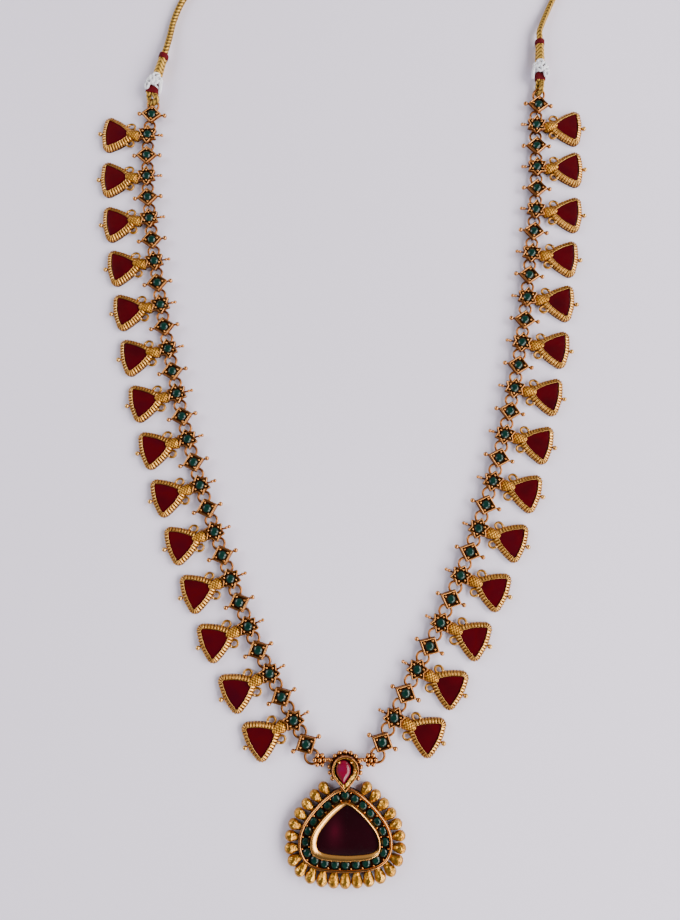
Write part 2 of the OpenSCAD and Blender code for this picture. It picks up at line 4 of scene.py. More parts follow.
import bmesh
import bpy
import numpy as np
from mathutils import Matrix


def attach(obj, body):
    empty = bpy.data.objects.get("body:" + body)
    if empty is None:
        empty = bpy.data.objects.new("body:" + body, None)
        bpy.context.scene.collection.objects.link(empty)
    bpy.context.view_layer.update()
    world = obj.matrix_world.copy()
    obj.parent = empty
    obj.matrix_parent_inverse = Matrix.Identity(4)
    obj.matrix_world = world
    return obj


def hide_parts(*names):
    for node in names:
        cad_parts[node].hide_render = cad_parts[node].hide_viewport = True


MM = 0.001
TURN = 2 * math.pi

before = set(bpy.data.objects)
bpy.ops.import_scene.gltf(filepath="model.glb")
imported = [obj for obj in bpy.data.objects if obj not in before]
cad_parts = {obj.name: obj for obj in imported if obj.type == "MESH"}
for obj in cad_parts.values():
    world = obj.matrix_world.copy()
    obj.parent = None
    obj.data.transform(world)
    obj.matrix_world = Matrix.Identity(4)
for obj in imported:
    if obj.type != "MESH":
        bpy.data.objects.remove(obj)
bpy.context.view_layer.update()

# Sizes in millimetres, as in the part's source

# Each chain's line, x and y, from the pendant to the cord
CHAIN_ROUTE = {
    "left": [
        [-12.6, -103.2], [-26, -78.8], [-34, -62.3], [-46.6, -29.4], [-57.5, 4.5],
        [-66.2, 39.9], [-73, 76.2], [-76.9, 105.2], [-77.7, 128.5], [-76.4, 137.2]],
    "right": [
        [13.9, -102.6], [26.3, -78.4], [35.1, -62.2], [49.3, -29.3], [60.3, 5.5],
        [68.1, 40.7], [73.4, 77], [76.7, 103.2], [77.9, 133.5], [79.1, 141.6]]}
END_HEIGHT = 2.6
CORD_HEIGHT = 1.15
SLOPE_HEIGHT = 1.7
# The cord's line, x and y, from its left end round the neck to its right end
LEFT_END = [[-76.03, 148.9], [-74.9, 153.4], [-73.4, 159.4], [-71.9, 165.4], [-71.4, 167.4]]
LEFT_SLOPE = [-70.6, 173, SLOPE_HEIGHT]
NECK = [[-69.3, 181], [-65.5, 191], [-56, 207], [-41, 224], [-21, 239], [3, 249], [29, 253],
        [55, 250], [76, 239], [89, 222], [92, 205], [89.3, 194.5], [86, 187]]
RIGHT_SLOPE = [83, 180, SLOPE_HEIGHT]
RIGHT_END = [[80.9, 174.3], [80.8, 171.3], [80.6, 165.3], [80.4, 159.3], [80.25, 154.8]]
CORD_ROUTE = [*[[x, y, END_HEIGHT] for x, y in LEFT_END], LEFT_SLOPE,
              *[[x, y, CORD_HEIGHT] for x, y in NECK], RIGHT_SLOPE,
              *[[x, y, END_HEIGHT] for x, y in RIGHT_END]]
CORD_DIAMETER = 2.2
STRAND_DIAMETER = 1.6
LINKS = 29
DROPS = 14
RING_WIRE = 0.8
RING_HEIGHT = 1.0
EYE_REACH = 2.5
PLATE_UNDER = 1.8
PLATE_TOP = 2.25
DISH = 2.5
WALL_TOP = 3.2
PRONG_REACH, PRONG_TOP, PRONG_RADIUS = 2.2, 3.0, 0.46
PENDANT = np.array([1.0, -117.4])
PENDANT_FLOOR = 2.6
# Right half of the pendant's rim, x and y from its top, and the point between the halves
RIM_HALF = [[3.8, -26.5], [7.6, -26.1], [10.6, -25.3], [13.2, -23.8], [14.6, -22.2],
            [15.6, -19.8], [15.8, -17.4], [15.4, -14.5], [14.1, -11.4], [12, -8.5],
            [9.4, -5.6], [6.5, -3], [3.4, -0.9]]
RIM_BOTTOM = [0, -26.65]
HALO_COUNT = 22
HALO_DEPTH = 2.3
HALO_PRONG_OUTER, HALO_PRONG_INNER, HALO_PRONG_TOP, HALO_PRONG_RADIUS = 1.15, 1.2, 3.4, 0.36
PETALS_A_SIDE = 12
PETAL_PITCH = 3.93
PETAL_OUT = 3.0


# Points and curves

def unit(v):
    return v / np.linalg.norm(v)


def left_of(v):
    return np.array([-v[1], v[0]])


def angle_of(v):
    return math.atan2(v[1], v[0])


def turns(count, shift=0.0):
    """Angles once round, evenly spaced."""
    return TURN * (np.arange(count) + shift) / count


def polar(radius, angle):
    return np.stack([radius * np.cos(angle), radius * np.sin(angle)], -1)


def at_height(points, z):
    """Points of the plane lifted to one height, or each to its own."""
    return np.column_stack([points, np.broadcast_to(z, len(points))])


def circle(radius, count=28):
    return polar(radius, turns(count))


def stadium(half_gap, radius):
    """Outline of a circle whose halves lie apart along Y."""
    points = circle(radius, 36)
    points[:, 1] += np.where(points[:, 1] >= 0, half_gap, -half_gap)
    return points


def curve_point(a, b, c, d, t):
    """Point of a smooth curve between b and c, which also passes through a and d."""
    return 0.5 * (2 * b + (c - a) * t + (2 * a - 5 * b + 4 * c - d) * t * t
                  + (3 * b - a - 3 * c + d) * t ** 3)


def open_curve(points, steps):
    p = np.array(points, float)
    last = len(p) - 1
    made = [curve_point(p[max(i - 1, 0)], p[i], p[i + 1], p[min(i + 2, last)], k / steps)
            for i in range(last) for k in range(steps)]
    return np.array(made + [p[last]])


def closed_curve(points, steps):
    p = np.array(points, float)
    n = len(p)
    return np.array([curve_point(p[i - 1], p[i], p[(i + 1) % n], p[(i + 2) % n], k / steps)
                     for i in range(n) for k in range(steps)])


def run_lengths(p):
    return np.concatenate([[0], np.cumsum(np.linalg.norm(np.diff(p, axis=0), axis=1))])


def at_runs(p, distances):
    runs = run_lengths(p)
    return np.stack([np.interp(distances, runs, p[:, k]) for k in range(p.shape[1])], -1)


def even_points(p, count):
    return at_runs(p, np.linspace(0, run_lengths(p)[-1], count + 1))


def even_closed(p, count):
    return even_points(np.vstack([p, p[:1]]), count)[:-1]


def normals(outline):
    """Outward directions of a counterclockwise outline."""
    run = np.roll(outline, -1, 0) - np.roll(outline, 1, 0)
    run /= np.linalg.norm(run, axis=1)[:, None]
    return np.stack([run[:, 1], -run[:, 0]], -1)


def wall(outline, rows):
    """Rings of points from an outline: each row is how far inward and how high."""
    out = normals(outline)
    return np.array([at_height(outline - depth * out, z) for depth, z in rows])


def swept(path, radius, sides, facing=(0, 0, 1), closed=False):
    """Rings of a tube along a path; radius is one number, one for each ring, or an array."""
    run = np.roll(path, -1, 0) - np.roll(path, 1, 0) if closed else np.gradient(path, axis=0)
    run /= np.linalg.norm(run, axis=1)[:, None]
    first = facing - (run @ facing)[:, None] * run
    first /= np.linalg.norm(first, axis=1)[:, None]
    second = np.cross(run, first)
    if np.ndim(radius) == 1:
        radius = radius[:, None]
    radius = np.broadcast_to(radius, (len(path), sides))
    across, up = polar(1, turns(sides)).T[..., None]
    return path[:, None] + radius[..., None] * (across * first[:, None] + up * second[:, None])


# Meshes joined from arrays

class Shape:
    """Points and faces in millimetres, with how deep in a recess each point lies; on the pendant's
    glass this value holds a painted sheen instead.
    """

    def __init__(self):
        self.points, self.recess, self.faces, self.count = [], [], [], 0

    def add(self, points, faces, recess=0.0, smooth=True, finish=0):
        points = np.asarray(points, float).reshape(-1, 3)
        self.points.append(points)
        self.recess.append(np.broadcast_to(np.asarray(recess, float).ravel(), len(points)))
        self.faces.append((np.asarray(faces) + self.count, smooth, finish))
        self.count += len(points)

    def skin(self, rings, recess=0.0, wrap=True, smooth=True, finish=0, start=False, end=False,
             loop=False):
        """Surface through rings; start and end close it by a fan, to a point if given."""
        rings = np.asarray(rings, float)
        if loop:
            rings = np.concatenate([rings, rings[:1]])
            if np.ndim(recess):
                recess = np.concatenate([recess, recess[:1]])
        rows, columns = rings.shape[:2]
        if np.ndim(recess) == 1:
            recess = np.asarray(recess, float)[:, None]
        recess = np.broadcast_to(recess, (rows, columns))
        index = np.arange(rows * columns).reshape(rows, columns)
        here = index if wrap else index[:, :-1]
        there = np.roll(index, -1, 1) if wrap else index[:, 1:]
        quads = np.stack([here[:-1], there[:-1], there[1:], here[1:]], -1).reshape(-1, 4)
        self.add(rings, quads, recess, smooth, finish)
        base = self.count - rows * columns
        for wanted, row in ((start, 0), (end, rows - 1)):
            if wanted is not False:
                middle = rings[row].mean(0) if wanted is True else wanted
                edge = base - self.count + index[row]
                fan = np.stack([edge, np.roll(edge, -1), np.zeros(columns, int)], -1)
                self.add(middle, fan if row else fan[:, ::-1], recess[row].mean(), smooth, finish)

    def stand(self, outline, rows, origin=(0, 0, 0), shift=(0, 0), **how):
        """Skin on an outline: each row is how far inward, how high, how deep in a recess and,
        where there is a shift aside, its share of it."""
        rows = np.array(rows, float)
        rings = wall(outline, rows[:, :2])
        if rows.shape[1] == 4:
            rings[..., :2] += rows[:, 3:, None] * shift
        self.skin(rings + origin, rows[:, 2], **how)

    def merge(self, other, origin=(0, 0, 0), axes=np.eye(3)):
        """Adds another shape, its axes laid along the rows of a matrix."""
        self.points.extend(points @ axes + origin for points in other.points)
        self.recess.extend(other.recess)
        self.faces.extend((faces + self.count, smooth, finish)
                          for faces, smooth, finish in other.faces)
        self.count += other.count


def about_z(angle, scale=1.0):
    c, s = math.cos(angle), math.sin(angle)
    return scale * np.array([[c, s, 0], [-s, c, 0], [0, 0, 1]])


def closed_shape(rings, recess=0.0):
    shape = Shape()
    shape.skin(rings, recess, start=True, end=True)
    return shape


def ball(shape, middle, radius, columns=14, rows=8, recess=0.0, finish=0):
    rise, out = polar(1, math.pi * np.arange(1, rows) / rows).T
    middle = np.asarray(middle, float)
    shape.skin(middle + radius * turned(zip(out, -rise), columns), recess, finish=finish,
               start=middle - [0, 0, radius], end=middle + [0, 0, radius])


def turned(profile, columns):
    """Rings of a turned shape from rows of radius and height."""
    return np.array([at_height(circle(radius, columns), z) for radius, z in profile])


def rod(shape, start, end, radius, sides=10, recess=0.5):
    shape.skin(swept(np.linspace(start, end, 3), radius, sides), recess, start=True, end=True)


def ring(shape, middle, radius, wire, count, turn, recess):
    """Ring of round wire, turned by a matrix."""
    rings = swept(at_height(circle(radius, count), 0.0), wire / 2, 8, closed=True)
    shape.skin(rings @ turn + middle, recess, loop=True)


# Materials

TARNISH, GRAIN, PITS = 420, 2600, 1500
DEEP_ROUGHNESS = 0.6


class Nodes:
    """Nodes of a material or of the sky."""

    def __init__(self, owner, shader="Principled BSDF"):
        owner.use_nodes = True
        self.owner, self.tree = owner, owner.node_tree
        self.shader = self.tree.nodes[shader]

    def put(self, node, inputs):
        """Gives a node's inputs numbers or the outputs of other nodes."""
        for key, value in inputs.items():
            if isinstance(value, (int, float)):
                node.inputs[key].default_value = value
            else:
                self.tree.links.new(value, node.inputs[key])

    def make(self, kind, inputs):
        made = self.tree.nodes.new("ShaderNode" + kind)
        self.put(made, inputs)
        return made

    def texture(self, kind, inputs):
        """Texture in the object's own coordinates, its scale in repeats a metre."""
        return self.make(kind, {"Vector": self.make("TexCoord", {}).outputs["Object"], **inputs})

    def noise(self, scale, detail=3.0):
        return self.texture("TexNoise", {"Scale": scale, "Detail": detail}).outputs["Fac"]

    def ramp(self, value, stops):
        """Colour of a value between stops of place and linear colour, or grey."""
        made = self.make("ValToRGB", {"Fac": value})
        spots = made.color_ramp.elements
        for place, _ in stops[1:-1]:
            spots.new(place)
        for spot, (place, colour) in zip(spots, stops):
            spot.position = place
            spot.color = (*np.broadcast_to(colour, 3), 1)
        return made.outputs["Color"]

    def maths(self, kind, a, b):
        """Two values put together, kept between 0 and 1."""
        made = self.make("Math", {0: a, 1: b})
        made.operation = kind
        made.use_clamp = True
        return made.outputs["Value"]

    def recess(self, drift, amount):
        """How deep in a recess a place lies, as its points say, with a drift added; the points also
        carry painted shade on gold and thread, and a painted sheen on the pendant's glass.
        """
        made = self.make("Attribute", {})
        made.attribute_name = "recess"
        return self.maths("ADD", made.outputs["Fac"], self.maths("MULTIPLY", drift, amount))

    def bump(self, height, strength, distance):
        made = self.make("Bump", {"Height": height, "Strength": strength, "Distance": distance})
        self.put(self.shader, {"Normal": made.outputs["Normal"]})


def gold(name, tones, roughness, grain=0.12, pits=False):
    """Antique gold, bright where it is worn and dark in the recesses, and darker by painted shade
    towards the surface that it lies on.
    """
    made = Nodes(bpy.data.materials.new(name))
    deep = made.recess(made.maths("SUBTRACT", made.noise(TARNISH), 0.42), 0.75)
    dull = [(0, roughness), (0.35, roughness + 0.1), (1, DEEP_ROUGHNESS)]
    made.put(made.shader, {"Base Color": made.ramp(deep, tones), "Metallic": 1.0,
                           "Roughness": made.ramp(deep, dull)})
    if pits:
        dents = made.texture("TexVoronoi", {"Scale": PITS})
        made.bump(dents.outputs["Distance"], grain, 0.35 * MM)
    else:
        made.bump(made.noise(GRAIN, 2), grain, 0.06 * MM)
    return made.owner


def glass(name, tones, roughness, scale, gloss):
    """Opaque dark glass; its tone drifts, and is lighter where the points carry a painted sheen."""
    made = Nodes(bpy.data.materials.new(name))
    tone = made.recess(made.noise(scale, 2), 0.5)
    wear = [(0.3, roughness), (0.8, roughness + 0.12)]
    made.put(made.shader, {"Base Color": made.ramp(tone, tones), "IOR": 1.5,
                           "Roughness": made.ramp(made.noise(900, 2), wear),
                           "Specular IOR Level": gloss})
    made.bump(made.noise(260, 1), 0.05, 0.2 * MM)
    return made.owner


def thread(name, dark, light, metallic=0.0, roughness=0.6, gloss=0.12):
    """Thread, light on its high sides, with painted shade between its windings."""
    made = Nodes(bpy.data.materials.new(name))
    shade = made.recess(made.maths("SUBTRACT", made.noise(1500), 0.5), 0.8)
    made.put(made.shader, {"Base Color": made.ramp(shade, [(0, light), (0.9, dark)]),
                           "Roughness": made.ramp(shade, [(0, roughness), (1, 0.8)]),
                           "Metallic": metallic, "Specular IOR Level": gloss})
    made.bump(made.noise(5200), 0.4, 0.12 * MM)
    return made.owner


# Tones of each material, from high places to deep ones
CAST = gold("antique_gold", [
    (0, (0.55, 0.24, 0.07)), (0.3, (0.36, 0.13, 0.034)),
    (0.65, (0.12, 0.037, 0.0084)), (1, (0.033, 0.0075, 0.0027))], 0.2)
MATTE = gold("matte_gold", [
    (0, (0.83, 0.45, 0.1)), (0.35, (0.58, 0.26, 0.033)),
    (0.7, (0.23, 0.087, 0.011)), (1, (0.049, 0.016, 0.0037))], 0.32, 0.6)
POLISHED = gold("polished_gold", [
    (0, (1, 0.5, 0.13)), (0.5, (0.85, 0.35, 0.066)), (1, (0.3, 0.094, 0.022))], 0.2, 0.05)
YELLOW = gold("yellow_gold", [
    (0, (0.65, 0.36, 0.099)), (0.3, (0.48, 0.22, 0.041)),
    (0.65, (0.21, 0.072, 0.013)), (1, (0.037, 0.011, 0.0027))], 0.24)
HAMMERED = gold("hammered_gold", [
    (0, (0.71, 0.41, 0.085)), (0.35, (0.46, 0.21, 0.026)),
    (0.7, (0.2, 0.066, 0.0079)), (1, (0.046, 0.013, 0.0019))], 0.24, 0.5, pits=True)
RED_GLASS = glass("red_glass", [
    (0.1, (0.03, 0.0008, 0.003)), (0.25, (0.062, 0.0012, 0.003)),
    (0.4, (0.032, 0.0008, 0.005))], 0.12, 90, 0.17)
DARK_GLASS = glass("dark_glass", [
    (0.2, (0.008, 0.0008, 0.002)), (0.6, (0.03, 0.002, 0.006)),
    (1, (0.075, 0.003, 0.012))], 0.1, 60, 0.2)
GREEN_GLASS = glass("green_glass", [
    (0.1, (0.0006, 0.006, 0.006)), (0.25, (0.002, 0.026, 0.017)),
    (0.4, (0.001, 0.01, 0.012))], 0.12, 700, 0.35)
RUBY = glass("ruby_glass", [
    (0.1, (0.075, 0.001, 0.006)), (0.25, (0.17, 0.002, 0.02)),
    (0.4, (0.1, 0.002, 0.04))], 0.12, 260, 0.4)
# Each thread's first tone is painted shade between its windings, the second its own colour
GOLD_THREAD = thread("gold_thread", (0.045, 0.018, 0.0015), (0.7, 0.4, 0.06), 0.6, 0.38, 0.4)
MAROON_THREAD = thread("maroon_thread", (0.016, 0.0004, 0.001), (0.15, 0.002, 0.008))
WHITE_THREAD = thread("white_thread", (0.2, 0.19, 0.21), (0.92, 0.91, 0.94))
METALS = [CAST, MATTE, POLISHED, YELLOW, HAMMERED]
IN_MATTE, IN_POLISHED, IN_YELLOW, IN_HAMMERED = range(1, 5)
# The frame's slot that each material stands for
SLOTS = {CAST: "gold", RED_GLASS: "red_glass", DARK_GLASS: "dark_glass", GREEN_GLASS: "green_glass",
         RUBY: "pink_glass", GOLD_THREAD: "gold_thread", MAROON_THREAD: "maroon_thread",
         WHITE_THREAD: "white_thread"}

# Painted shade makes the gold darker towards the surface that it lies on
PAINTED_SHADE, PAINTED_SHADE_HEIGHT = 0.75, 1.35
SAME_POINT = 1e-7


def add_object(name, data):
    made = bpy.data.objects.new(name, data)
    bpy.context.scene.collection.objects.link(made)
    return made


def make_piece(name, shape, materials, node):
    """One mesh object from a shape, in place of a CAD node."""
    slot = SLOTS[materials[0]]
    mesh = bpy.data.meshes.new(name)
    points = np.concatenate(shape.points) * MM
    corners = np.concatenate([faces.ravel() for faces, _, _ in shape.faces])
    counts = [len(faces) for faces, _, _ in shape.faces]
    sizes = np.repeat([faces.shape[1] for faces, _, _ in shape.faces], counts)
    mesh.vertices.add(len(points))
    mesh.vertices.foreach_set("co", points.ravel())
    mesh.loops.add(len(corners))
    mesh.loops.foreach_set("vertex_index", corners)
    mesh.polygons.add(len(sizes))
    mesh.polygons.foreach_set("loop_start", np.concatenate([[0], np.cumsum(sizes)[:-1]]))
    for key, column in (("use_smooth", 1), ("material_index", 2)):
        values = [row[column] for row in shape.faces]
        mesh.polygons.foreach_set(key, np.repeat(values, counts))
    mesh.update(calc_edges=True)
    held = mesh.attributes.new("recess", "FLOAT", "POINT")
    depth = np.concatenate(shape.recess)
    # Painted shade: gold near the floor is made deeper, so it darkens towards the surface it lies on
    if slot == "gold":
        depth = depth + PAINTED_SHADE * np.clip(1 - points[:, 2] / (PAINTED_SHADE_HEIGHT * MM), 0, 1)
    held.data.foreach_set("value", np.clip(depth, 0, 1))
    for material in materials:
        mesh.materials.append(material)
    tidy = bmesh.new()
    tidy.from_mesh(mesh)
    bmesh.ops.remove_doubles(tidy, verts=tidy.verts, dist=SAME_POINT)
    bmesh.ops.recalc_face_normals(tidy, faces=tidy.faces)
    tidy.to_mesh(mesh)
    tidy.free()
    piece = add_object(name, mesh)
    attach(piece, "root")
    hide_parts(node)
    return piece


# Camera, floor and light, in metres, degrees and watts

LENS, SENSOR = 27.39, 36
CAMERA_PLACE, CAMERA_TILT = (-0.0008, -0.0448, 0.2576), 9.2
FLOOR_HALF = 3
FLOOR_TONES = [(0.3, (0.79, 0.72, 0.85)), (0.7, (0.84, 0.77, 0.91))]
# Name, place, width and height, power and colour
LIGHTS = [("window", (1.22, 0.12, 0.85), (1.5, 0.9), 43, (1.0, 0.98, 0.965)),
          ("card", (0.8, -1.05, 0.72), (1.1, 0.7), 22, (1.0, 0.98, 0.965)),
          ("wall", (-1.2, 0.5, 0.8), (0.9, 0.9), 16, (0.95, 0.97, 1.0))]
# Height in the sky and colour, from the horizon up
SKY_TONES = [(0.0, (0.80, 0.79, 0.83)), (0.14, (0.42, 0.41, 0.43)), (0.62, (0.36, 0.355, 0.375)),
             (0.86, (0.10, 0.10, 0.11))]

camera_data = bpy.data.cameras.new("camera")
camera_data.sensor_width = SENSOR
camera_data.lens = LENS
camera_data.clip_end = 20
camera = add_object("camera", camera_data)
camera.location = CAMERA_PLACE
camera.rotation_euler = (math.radians(CAMERA_TILT), 0, 0)
bpy.context.scene.camera = camera


def make_floor():
    mesh = bpy.data.meshes.new("floor")
    corners = [(x * FLOOR_HALF, y * FLOOR_HALF, 0) for x, y in ((-1, -1), (1, -1), (1, 1), (-1, 1))]
    mesh.from_pydata(corners, [], [(0, 1, 2, 3)])
    made = Nodes(bpy.data.materials.new("floor_paper"))
    made.put(made.shader, {"Base Color": made.ramp(made.noise(3, 2), FLOOR_TONES), "Roughness": 0.7})
    mesh.materials.append(made.owner)
    add_object("floor", mesh)


def area_light(name, place, size, power, colour):
    """Rectangular light that faces the middle of the scene."""
    data = bpy.data.lights.new(name, "AREA")
    data.shape = "RECTANGLE"
    data.size, data.size_y = size
    data.energy = power
    data.color = colour
    light = add_object(name, data)
    light.location = x, y, z = place
    light.rotation_euler = (math.atan2(math.hypot(x, y), z), 0, math.atan2(x, -y))


make_floor()
for row in LIGHTS:
    area_light(*row)
bpy.context.scene.world = bpy.data.worlds.new("world")
sky = Nodes(bpy.context.scene.world, "Background")
direction = sky.make("SeparateXYZ", {"Vector": sky.make("TexCoord", {}).outputs["Generated"]})
sky.put(sky.shader, {"Color": sky.ramp(direction.outputs["Z"], SKY_TONES)})


# Cord: a braid of gold thread

CORD_STRETCHES = 1180
CORD_LIFT = 0.15
CORD_FULLER = 0.2
CORD_PLAIT, STRAND_PLAIT, SLEEVE_PLAIT = 1.6, 1.5, 1.7
cord_line = even_points(open_curve(CORD_ROUTE, 6), CORD_STRETCHES)


def braid(path, radius, pitch, folds=2, depth=0.35, sides=16, facing=(0, 0, 1)):
    """Rings of a plaited tube and how deep each point lies between its strands."""
    along = run_lengths(path)[:, None] / pitch
    across = np.abs(2 * folds * np.arange(sides)[None, :] / sides % 2 - 1)
    fold = np.abs(2 * across - 1) ** 5
    high = np.abs(np.sin(math.pi * (along + 0.9 * across))) ** 0.8 * (1 - 0.4 * fold)
    radius = np.broadcast_to(radius, len(path))[:, None]
    return swept(path, radius - depth * (1 - high), sides, facing), 1.35 * (1 - high)


cord_shape = closed_shape(*braid(cord_line + [0, 0, CORD_LIFT], CORD_DIAMETER / 2 + CORD_FULLER,
                                 CORD_PLAIT))
cord = make_piece("gold_cord", cord_shape, [GOLD_THREAD], "neck_cord")

CORD_ENDS = {"left": np.array(LEFT_END[:2]), "right": np.array(RIGHT_END[:-3:-1])}
CORD_START = {side: end[0] for side, end in CORD_ENDS.items()}
CORD_RUN = {side: unit(end[1] - end[0]) for side, end in CORD_ENDS.items()}


def on_cord(side, shape, distance):
    """Copy of a shape along Z, laid on the cord's straight end with Z away from the chain."""
    run = np.array([*CORD_RUN[side], 0])
    middle = np.array([*(CORD_START[side] + distance * CORD_RUN[side]), END_HEIGHT])
    laid = Shape()
    laid.merge(shape, middle, [[0, 0, -1], [-run[1], run[0], 0], run])
    return laid


WINDING_ROWS = 6
ROUNDED_END = 0.3


def wound(outline, length, pitch, depth):
    """Thread wound around an outline, its two ends rounded."""
    rng = np.random.default_rng(0)
    rows = int(length / pitch * WINDING_ROWS)
    along = np.linspace(-length / 2, length / 2, rows + 1)
    around = np.arange(len(outline)) / len(outline)
    high = np.abs(np.sin(math.pi * (along[:, None] / pitch + around[None, :]))) ** 0.7
    swell = 1 + 0.03 * rng.standard_normal(rows + 1)[:, None]
    past = ((np.abs(along) - (length / 2 - ROUNDED_END)) / ROUNDED_END).clip(0)
    inner = np.clip(1 - past ** 2, 0, 1)[:, None]
    cut = depth * (1 - high) * swell + ROUNDED_END * (1 - inner)
    flat = outline[None] - cut[..., None] * normals(outline)[None]
    rings = np.concatenate([flat, np.broadcast_to(along[:, None, None], (*flat.shape[:2], 1))], -1)
    return closed_shape(rings, 1.3 * (1 - high))


# Turns round the cord: place along it, lean and thickness
KNOT_TURNS = [(-1.4, 1.1, 0.5), (0.1, -1.4, 0.45), (1.5, 1.0, 0.5)]
# Lobes that lie on the turns: place across and along the cord, and angle
KNOT_LOBES = [(-1.75, 0.9, 0.4), (-0.4, 2.1, 2.7), (0.9, 0.7, 1.0), (-0.8, -0.8, 2.2),
              (1.8, -1.0, 0.3), (2.1, -2.8, 1.4)]
TURN_HIGH, TURN_WIDE = 1.6, 2.15
LOBE_LONG, LOBE_SHORT, LOBE_YARN = 1.2, 0.8, 0.48
YARN_SIDES = 15


def yarn(path, radius, closed=False, facing=(0.2, 0.1, 1)):
    """Rings of a thread twisted from three yarns, and how deep each point lies."""
    phase = 1.5 * turns(YARN_SIDES)[None] + 1.1 * np.arange(len(path))[:, None]
    high = np.abs(np.cos(phase)) ** 0.7
    radius = np.broadcast_to(radius, len(path))[:, None] * (0.82 + 0.18 * high)
    return swept(path, radius, YARN_SIDES, facing, closed), 0.75 * (1 - high)


def white_knot(hand):
    """White yarn tied round the cord in turns and lobes, with two side loops and a hanging end."""
    shape = Shape()
    angle = turns(48)
    for turn, (shift, lean, thick) in enumerate(KNOT_TURNS):
        wave = 1 + 0.06 * np.sin(2 * angle + 2.1 * turn)
        path = np.column_stack([TURN_HIGH * wave * np.cos(angle), TURN_WIDE * wave * np.sin(angle),
                                shift + lean * np.sin(angle + hand * turn)])
        strand = thick * (1 + 0.2 * np.sin(3 * angle + turn))
        shape.skin(*yarn(path, strand, True), loop=True)
    turn = turns(26)
    long, short = LOBE_LONG * np.cos(turn), LOBE_SHORT * np.sin(turn)
    for across, along, angle in KNOT_LOBES:
        y = hand * (across + long * math.cos(angle) - short * math.sin(angle))
        z = along + long * math.sin(angle) + short * math.cos(angle)
        lobe = np.column_stack([0.1 * y ** 2 - 2.15 + 0.2 * np.sin(2 * turn + angle), y, z])
        shape.skin(*yarn(lobe, LOBE_YARN, True, (1, 0, 0)), loop=True)
    for reach, out in ((1.0, 2.6), (-1.0, 2.4)):
        path = open_curve([[-1.4, -0.9 * reach, 1.5 * reach], [-2.0, 0.6 * reach, 1.0 * reach],
                           [-1.6, out * reach, 0.1], [-0.3, 2.6 * reach, -1.1 * reach],
                           [0.4, 1.7 * reach, -0.7]], 10)
        shape.skin(*yarn(path, 0.5), start=True, end=True)
    loose = open_curve([[-1.2, -1.9 * hand, 0.6], [-1.4, -2.8 * hand, -0.8],
                        [-0.8, -3.1 * hand, -2.4], [0.2, -2.8 * hand, -4.0]], 8)
    shape.skin(*yarn(loose, np.linspace(0.8, 0.6, len(loose))), start=True, end=True)
    core = wound(circle(1.75), 4.6, 0.5, 0.15)
    core.faces = [(faces, smooth, 1) for faces, smooth, _ in core.faces]
    shape.merge(core)
    return shape


SLEEVE_LENGTH = 8.6
SLEEVE_RADIUS = (2.0, 1.75)
SLEEVE_ROWS = 90


def sleeve():
    """Woven sleeve, wider at the end by the knot."""
    path = at_height(np.zeros((SLEEVE_ROWS, 2)), SLEEVE_LENGTH * np.linspace(-0.5, 0.5, SLEEVE_ROWS))
    radius = np.linspace(*SLEEVE_RADIUS, SLEEVE_ROWS)
    rings, deep = braid(path, radius, SLEEVE_PLAIT, 3, 0.2, 48, (1, 0, 0))
    return closed_shape(rings, 0.8 * deep)


def ring_radius(side):
    return np.linalg.norm(chains[side][1] - chains[side][0]) - EYE_REACH


def outward(side):
    return 1 if side == "left" else -1


STATIONS = 2 * (LINKS - 1)
chains = {side: even_points(open_curve(CHAIN_ROUTE[side], 6), STATIONS) for side in CHAIN_ROUTE}


def station_run(side, k):
    ahead = chains[side][k + 1] if k < STATIONS else CORD_START[side]
    return unit(ahead - chains[side][max(k - 1, 0)])


CORD_RING_TILT = math.radians(18.5)
STRAND_SPREAD = {"left": 1.25, "right": 0.88}
STRAND_FULLER = {"left": 0.35, "right": 0.2}
STRAND_TURN = 1.35
LOOP_SPREAD = {"left": 1.7, "right": 0.6}
# Places on the cord, from its end
LOWER_BINDING, KNOT, SLEEVE, UPPER_BINDING = -1.5, 2, 8.5, 14.1


def cord_eye(side):
    return chains[side][STATIONS] + EYE_REACH * station_run(side, STATIONS)


def in_frame(origin, run, p):
    """Place of a point that is given along a direction, to the left of it and up."""
    return [*(origin + p[0] * run + p[1] * left_of(run)), p[2]]


def loop_path(side):
    """Line of the strand that goes from the lower binding through the end ring and back."""
    run = unit(CORD_START[side] - cord_eye(side))
    far = cord_eye(side) + 2 * ring_radius(side) * math.cos(CORD_RING_TILT) * run
    wire = RING_HEIGHT + 2 * ring_radius(side) * math.sin(CORD_RING_TILT)
    ends = [[-0.15, 1], [LOWER_BINDING, 1], [2 * LOWER_BINDING, 0.95]]
    apart = LOOP_SPREAD[side]
    over = [[0.25, -apart, wire + STRAND_TURN],
            [-0.8 * STRAND_TURN, -0.9 * apart, wire + 0.75 * STRAND_TURN],
            [-1.1 * STRAND_TURN, 0, wire],
            [-0.8 * STRAND_TURN, 0.9 * apart, wire - 0.7 * STRAND_TURN],
            [0.25, apart, wire - STRAND_TURN]]
    first, last = [[in_frame(CORD_START[side], CORD_RUN[side],
                             [d, hand * w * STRAND_SPREAD[side], END_HEIGHT]) for d, w in ends]
                   for hand in (-1, 1)]
    over = [in_frame(far, run, p) for p in over]
    return even_points(open_curve(first + over + last[::-1], 8), 130)


